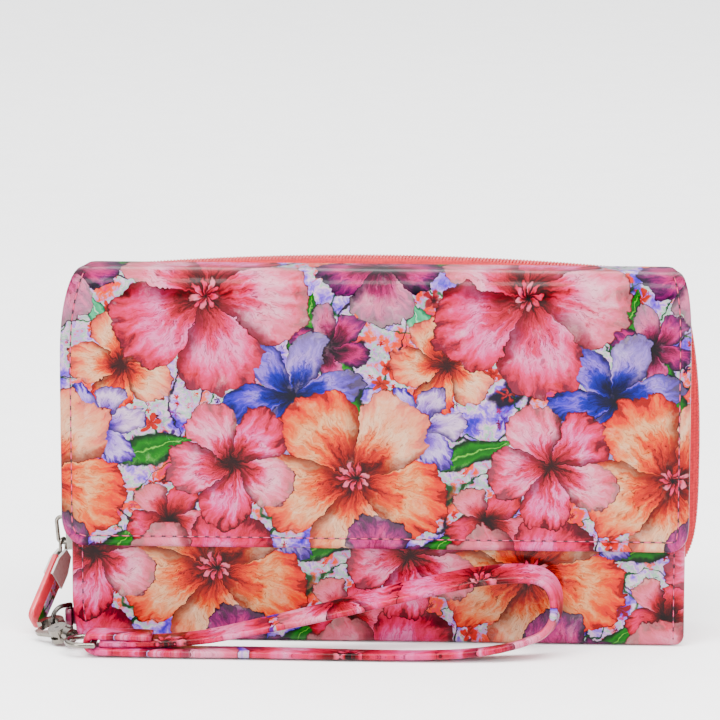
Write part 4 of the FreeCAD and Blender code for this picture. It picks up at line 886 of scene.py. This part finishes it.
# Stitches run up one side of the back, round its top corners and down the other side.
rise, corner = np.linspace(10, back_high[2] - BACK_CORNER, 90), np.linspace(0, QUARTER, 14)[1:-1]
sweep = BACK_CORNER - BACK_INSET
side_x = back_low[0] + BACK_INSET + 0 * rise
arc_x = back_low[0] + BACK_CORNER - sweep * np.cos(corner)
arc_z = back_high[2] - BACK_CORNER + sweep * np.sin(corner)
top_x = np.linspace(back_low[0] + BACK_CORNER, back_high[0] - BACK_CORNER, 120)
seam_x = np.concatenate([side_x, arc_x, top_x, -arc_x[::-1], -side_x[::-1]])
seam_z = np.concatenate([rise, arc_z, np.full(120, back_high[2] - BACK_INSET), arc_z[::-1], rise[::-1]])
stitched = thread("back_stitches", stack(seam_x, BACK_Y + 0.88, seam_z),
                  stack(np.zeros_like(seam_x), 1.0, 0.0))
finish_piece(stitched, THREAD, "printed_cover", "back_shell")


# ---- inside panels, pockets and gussets
piece, _, _ = over_solid("middle_panel", "middle_cover", "organiser", thick=COVER,
                         radii=(0, BACK_CORNER), dip=0.2)

for node, body, thick, radii in (
        ("front_pocket_lining", "organiser", 0.6, (0, 0)), ("back_slip_pocket", "back_shell", 1.1, (4, 0)),
        *((f"card_slot_{place}", "organiser", 1.3, (1, 1))
          for place in ("left_1", "left_2", "left_3", "right_1", "right_2", "right_3"))):
    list(over_solid(node, node + "_cloth", body, thick=thick, radii=radii, seam=1.6, dip=0.12, pad=0.1))

# Both cloths of the coin pocket are as wide as the front one and end at its top.
low, high = node_box("coin_pocket_front")
for node, y in (("coin_pocket_front", 4.95), ("coin_pocket_back", 8.7)):
    bottom = node_box(node)[0][2]
    piece = sewn_sheet(node + "_cloth", upright(y, bottom), high[2] - bottom, low[0], high[0], thick=0.7,
                       radii=(5, 2), seam=2, dip=0.1, pad=0.2)
    finish_piece(piece, LINING, "lining", "coin_pocket", [node])


def gusset(node, body):
    """A gusset folded inwards: in plan a V with soft sides, carried up the side, and drawn in deepest half
    way up by a sine."""
    low, high = node_box(node)
    side = 1 if low[0] > 0 else -1
    v = np.linspace(0, 1, 13)
    u = np.linspace(0, 1, 25)
    fold = 1 - np.abs(2 * v - 1) ** 1.3
    outer, inner = (high[0], low[0]) if side > 0 else (-low[0], -high[0])
    depth = (outer - inner - 0.6) * (0.9 + 0.1 * np.sin(u * np.pi))
    x = side * (outer - 0.3 - depth[:, None] * fold)
    y = low[1] + (high[1] - low[1]) * v + 0 * x
    z = low[2] + (high[2] - low[2]) * u[:, None] + 0 * x
    piece = make_mesh(node + "_cloth", stack(x, y, z), grid_faces(25, 13), stack(y, z) / CLOTH_UNIT)
    wall = piece.modifiers.new("wall", "SOLIDIFY")
    wall.thickness = 0.5 * MM
    wall.offset = 0
    finish_piece(piece, LINING, "lining", body, [node])
    half_way = len(u) // 2
    width = distances(stack(x[half_way], y[half_way]))[-1]


for side in ("left", "right"):
    gusset(f"front_gusset_{side}", "organiser")
    gusset(f"zip_gusset_front_{side}", "organiser")
    gusset(f"zip_gusset_back_{side}", "back_shell")


# ---- zip round three sides
# Centres (x, z) and radii of the arcs that it follows, the angles where they join, and its right foot's
# height.
SIDE_C, SIDE_R = (153.0, 52.0), 250.0
CORNER_C, TURN_R = (76.292, 98.702), 16.0
TOP_C, TOP_R = (0.0, -782.0), 900.0
LOW_JOINT, HIGH_JOINT = 0.20093, 1.48439
ZIP_FOOT = 21.5


def zip_line(foot_left, foot_right, offset, step):
    """The zip's path at an offset outwards: a side arc, a corner arc, the long top arc, and back down."""
    points, normals = [], []
    left, right = (math.asin((foot - SIDE_C[1]) / (SIDE_R + offset)) for foot in (foot_left, foot_right))
    for centre, radius, start, stop in (
            (SIDE_C, SIDE_R, math.pi - left, math.pi - LOW_JOINT),
            ((-CORNER_C[0], CORNER_C[1]), TURN_R, math.pi - LOW_JOINT, math.pi - HIGH_JOINT),
            (TOP_C, TOP_R, math.pi - HIGH_JOINT, HIGH_JOINT),
            (CORNER_C, TURN_R, HIGH_JOINT, LOW_JOINT),
            ((-SIDE_C[0], SIDE_C[1]), SIDE_R, LOW_JOINT, right)):
        angle = np.linspace(start, stop, max(3, int(abs(stop - start) * radius / step)))[:-1]
        way = stack(np.cos(angle), np.sin(angle))
        points.append(np.array(centre) + way * (radius + offset))
        normals.append(way)
    return np.concatenate(points), np.concatenate(normals)


def belly(points):
    """How far the closed zip bellies out to the right: 3.4 mm soon above its foot and 1.2 mm more further
    up, fading out round the top corner, and nothing on the left."""
    x, z = points.T
    out = 3.4 * np.tanh(np.maximum(z - ZIP_FOOT, 0) / 7) + 1.2 * ease((z - 50) / 45)
    return np.where(x > 0, out * (1 - ease((z - 98) / 14)), 0)


def zip_tape(name, node, body, foot_left, sewn, free):
    """Woven tape along the zip's path. Across, it rises from its sewn edge as a quarter sine to the teeth,
    where it stands out by the belly, and its half thickness closes in a blunt round at both edges."""
    points, normals = zip_line(foot_left, ZIP_FOOT, 0, 1.2)
    v = np.linspace(0, 1, 15)
    rise = np.sin(v * QUARTER)
    half = 0.35 * np.sqrt(1 - np.abs(2 * v - 1) ** 6) * np.ones((len(points), 1))
    half[[0, -1]] = 0
    centre = -0.9 + 1.7 * rise
    out = belly(points)[:, None] * rise
    sheets = [stack(points[:, :1] + normals[:, :1] * (centre + side * half) + out, sewn + (free - sewn) * v,
                    points[:, 1:] + normals[:, 1:] * (centre + side * half)) for side in (1, -1)]
    faces = grid_faces(*half.shape)
    piece = close_up(make_mesh(name, sheets, np.concatenate([faces, faces[:, ::-1] + half.size])))
    finish_piece(piece, TAPE, "tape", body, [node])


zip_tape("zip_tape_front_weave", "zip_tape_front", "organiser", ZIP_FOOT, -1.0, 5.2)
zip_tape("zip_tape_back_weave", "zip_tape_back", "back_shell", 37.0, 14.6, 8.4)

TOOTH = 1.05     # from one turn of a row to the next


def zip_teeth(name, node, body, start, foot_left, root, tip):
    """One row of coil turns: each is a low flattened loop from the tape to the middle, a little aslant,
    with a swollen nose. The same small loop is repeated every TOOTH along the path, and one row starts half
    a turn on."""
    points, normals = zip_line(foot_left, ZIP_FOOT + 1, 0.9, 0.25)
    points[:, 0] += belly(points)
    run = distances(points)
    at = np.arange(start, run[-1] - 0.6, TOOTH)
    centre, out = (read_off(at, run, values)[:, None, None] for values in (points, normals))
    u = np.linspace(0, 1, 7)[:, None]
    v = np.linspace(0, 2 * np.pi, 6, endpoint=False)
    girth = np.interp(u, [0, 0.15, 0.7, 0.88, 1], [0.3, 0.48, 0.5, 0.5, 0.2])
    height = np.interp(u, [0, 0.15, 0.7, 0.88, 1], [0.3, 0.62, 0.66, 0.6, 0.2])
    a = girth * np.cos(v) + 0.4 * u
    n = height * np.sin(v)
    x = centre[..., 0] + out[..., 1] * a + out[..., 0] * n
    z = centre[..., 1] - out[..., 0] * a + out[..., 1] * n
    piece = close_up(make_mesh(name, stack(x, root + (tip - root) * u, z), loop_faces(len(at), 7)))
    finish_piece(piece, COIL, "coil", body, [node])


zip_teeth("zip_teeth_front", "zip_coil_front", "organiser", 0.9, ZIP_FOOT + 1, 3.7, 7.3)
zip_teeth("zip_teeth_back", "zip_coil_back", "back_shell", 1.42, 37.5, 9.9, 6.3)


def straight_teeth(name, node, sign):
    """The coin pocket's teeth: short flattened loops every 1.6 mm along a straight tape, whose noses reach
    0.4 mm past their row, up or down by the sign."""
    low, high = node_box(node)
    at = np.arange(low[0] + 0.8, high[0] - 0.4, 1.6)[:, None, None] + 0.4 * sign
    u = np.linspace(0, 1, 5)[:, None]
    v = np.linspace(0, 2 * np.pi, 6, endpoint=False)
    girth = np.interp(u, [0, 0.2, 0.8, 1], [0.2, 0.36, 0.42, 0.1])
    root, tip = (high[2], low[2] - 0.4) if sign > 0 else (low[2], high[2] + 0.4)
    y = (low[1] + high[1]) / 2 + 1.5 * girth * np.sin(v)
    points = stack(at + girth * np.cos(v), y, root + (tip - root) * u)
    piece = close_up(make_mesh(name, points, loop_faces(len(at), 5)))
    finish_piece(piece, COIL, "coil", "coin_pocket", [node])


straight_teeth("coin_teeth_lower", "coin_zip_lower_row", -1)
straight_teeth("coin_teeth_upper", "coin_zip_upper_row", 1)
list(over_solid("coin_zip_tape", "coin_tape_weave", "coin_pocket", TAPE, "tape", thick=0.5, seam=1.2,
                      dip=0.05))


# ---- puller's tab and the ring's tab
TAB_PRINT = (45, 4)
TAB_LEAN = math.radians(48)     # the tab's width is turned from level by this


def pull_tab():
    """A puffy coral leather tab, which laps over the clamp's edge, with a printed facing: each is a rounded
    rectangle, carried down the tab's length along the puller's own axes, whose end corners are quarter
    circles."""
    hinge = next(joint for joint in frame["joints"] if joint["name"] == "puller_swing")
    start, thick_way = np.array(hinge["pos_m"]) / MM, np.array(hinge["axis"])
    level, upwards = np.array([thick_way[1], -thick_way[0], 0]), np.array([0, 0, 1])
    down = -math.sin(TAB_LEAN) * level - math.cos(TAB_LEAN) * upwards
    wide = math.cos(TAB_LEAN) * level - math.sin(TAB_LEAN) * upwards
    v = np.linspace(0, 2 * np.pi, 28, endpoint=False)
    c, s = np.cos(v), np.sin(v)
    for name, material, slot, stands_for, middle, width, n_low, n_high, end in (
            ("pull_tab_leather", PULL_LEATHER, "pull_leather", ["pull_tab"], -0.55, 8.9, -1.15, 1.28, 27.2),
            ("pull_tab_printed", PRINT, "printed_cover", [], 1.3, 4.4, -1.34, -0.9, 26.4)):
        corner = width * 0.4
        u = np.concatenate([np.linspace(2.9, end - corner, 20),
                            end - corner + corner * np.sin(np.linspace(0, QUARTER, 14)[1:])])[:, None]
        over = np.maximum(u - (end - corner), 0)
        half = width / 2 - corner + np.sqrt(np.maximum(corner ** 2 - over ** 2, 0))
        a = middle + half * np.sign(c) * np.abs(c) ** 0.35
        plump = np.minimum(1, np.sqrt(np.maximum(end - u, 0.04) / 1.2))
        n = (n_low + n_high) / 2 + (n_high - n_low) / 2 * plump * np.sign(s) * np.abs(s) ** 0.6
        points = start + down * u[..., None] + wide * a[..., None] + thick_way * n[..., None]
        flat = stack(a + TAB_PRINT[0], u + TAB_PRINT[1]) / CLOTH_UNIT
        piece = close_up(make_mesh(name, points, grid_faces(len(u), len(v), closed=True), flat), ends=True)
        finish_piece(piece, material, slot, "puller", stands_for)


pull_tab()


def ring_tab():
    """A leather loop from the front's seam round the ring's bar and back: a flat band carried round a
    circle."""
    low, high = node_box("d_ring_tab")
    bar, r = np.array([low[0] + 1.8, high[1] - 1.8]), 1.3
    turn = np.linspace(-QUARTER + 0.3, -3 * QUARTER, 22)
    tail = np.linspace(bar[0] + 0.8, high[0] - 0.4, 6)
    drop = np.interp(tail, [bar[0], high[0]], [bar[1] + r, bar[1] + r - 0.5])
    x, y = np.concatenate([bar + r * stack(np.cos(turn), np.sin(turn)), stack(tail, drop)]).T
    piece = carry("ring_tab_leather", stack(x, y, (low[2] + high[2]) / 2), (0, 0, 1),
                  soft_bar(high[2] - low[2], 0.9, 5, 5, 0.05))
    finish_piece(piece, TAB_LEATHER, "tab_leather", "organiser", ["d_ring_tab"])


ring_tab()

# ---- metal fittings keep their solids
for finish, nodes in (
        (NICKEL, ("zip_slider", "zip_bail", "pull_link", "coin_slider", "clasp_hook", "clasp_gate",
                  "swivel_eye", "snap_socket", "snap_stud")),
        (LACQUERED_NICKEL, ("pull_clamp",)),
        (DARK_NICKEL, ("gate_pin", "d_ring"))):
    for node in nodes:
        solid = frame["nodes"][node].data
        solid.materials.clear()
        solid.materials.append(finish)
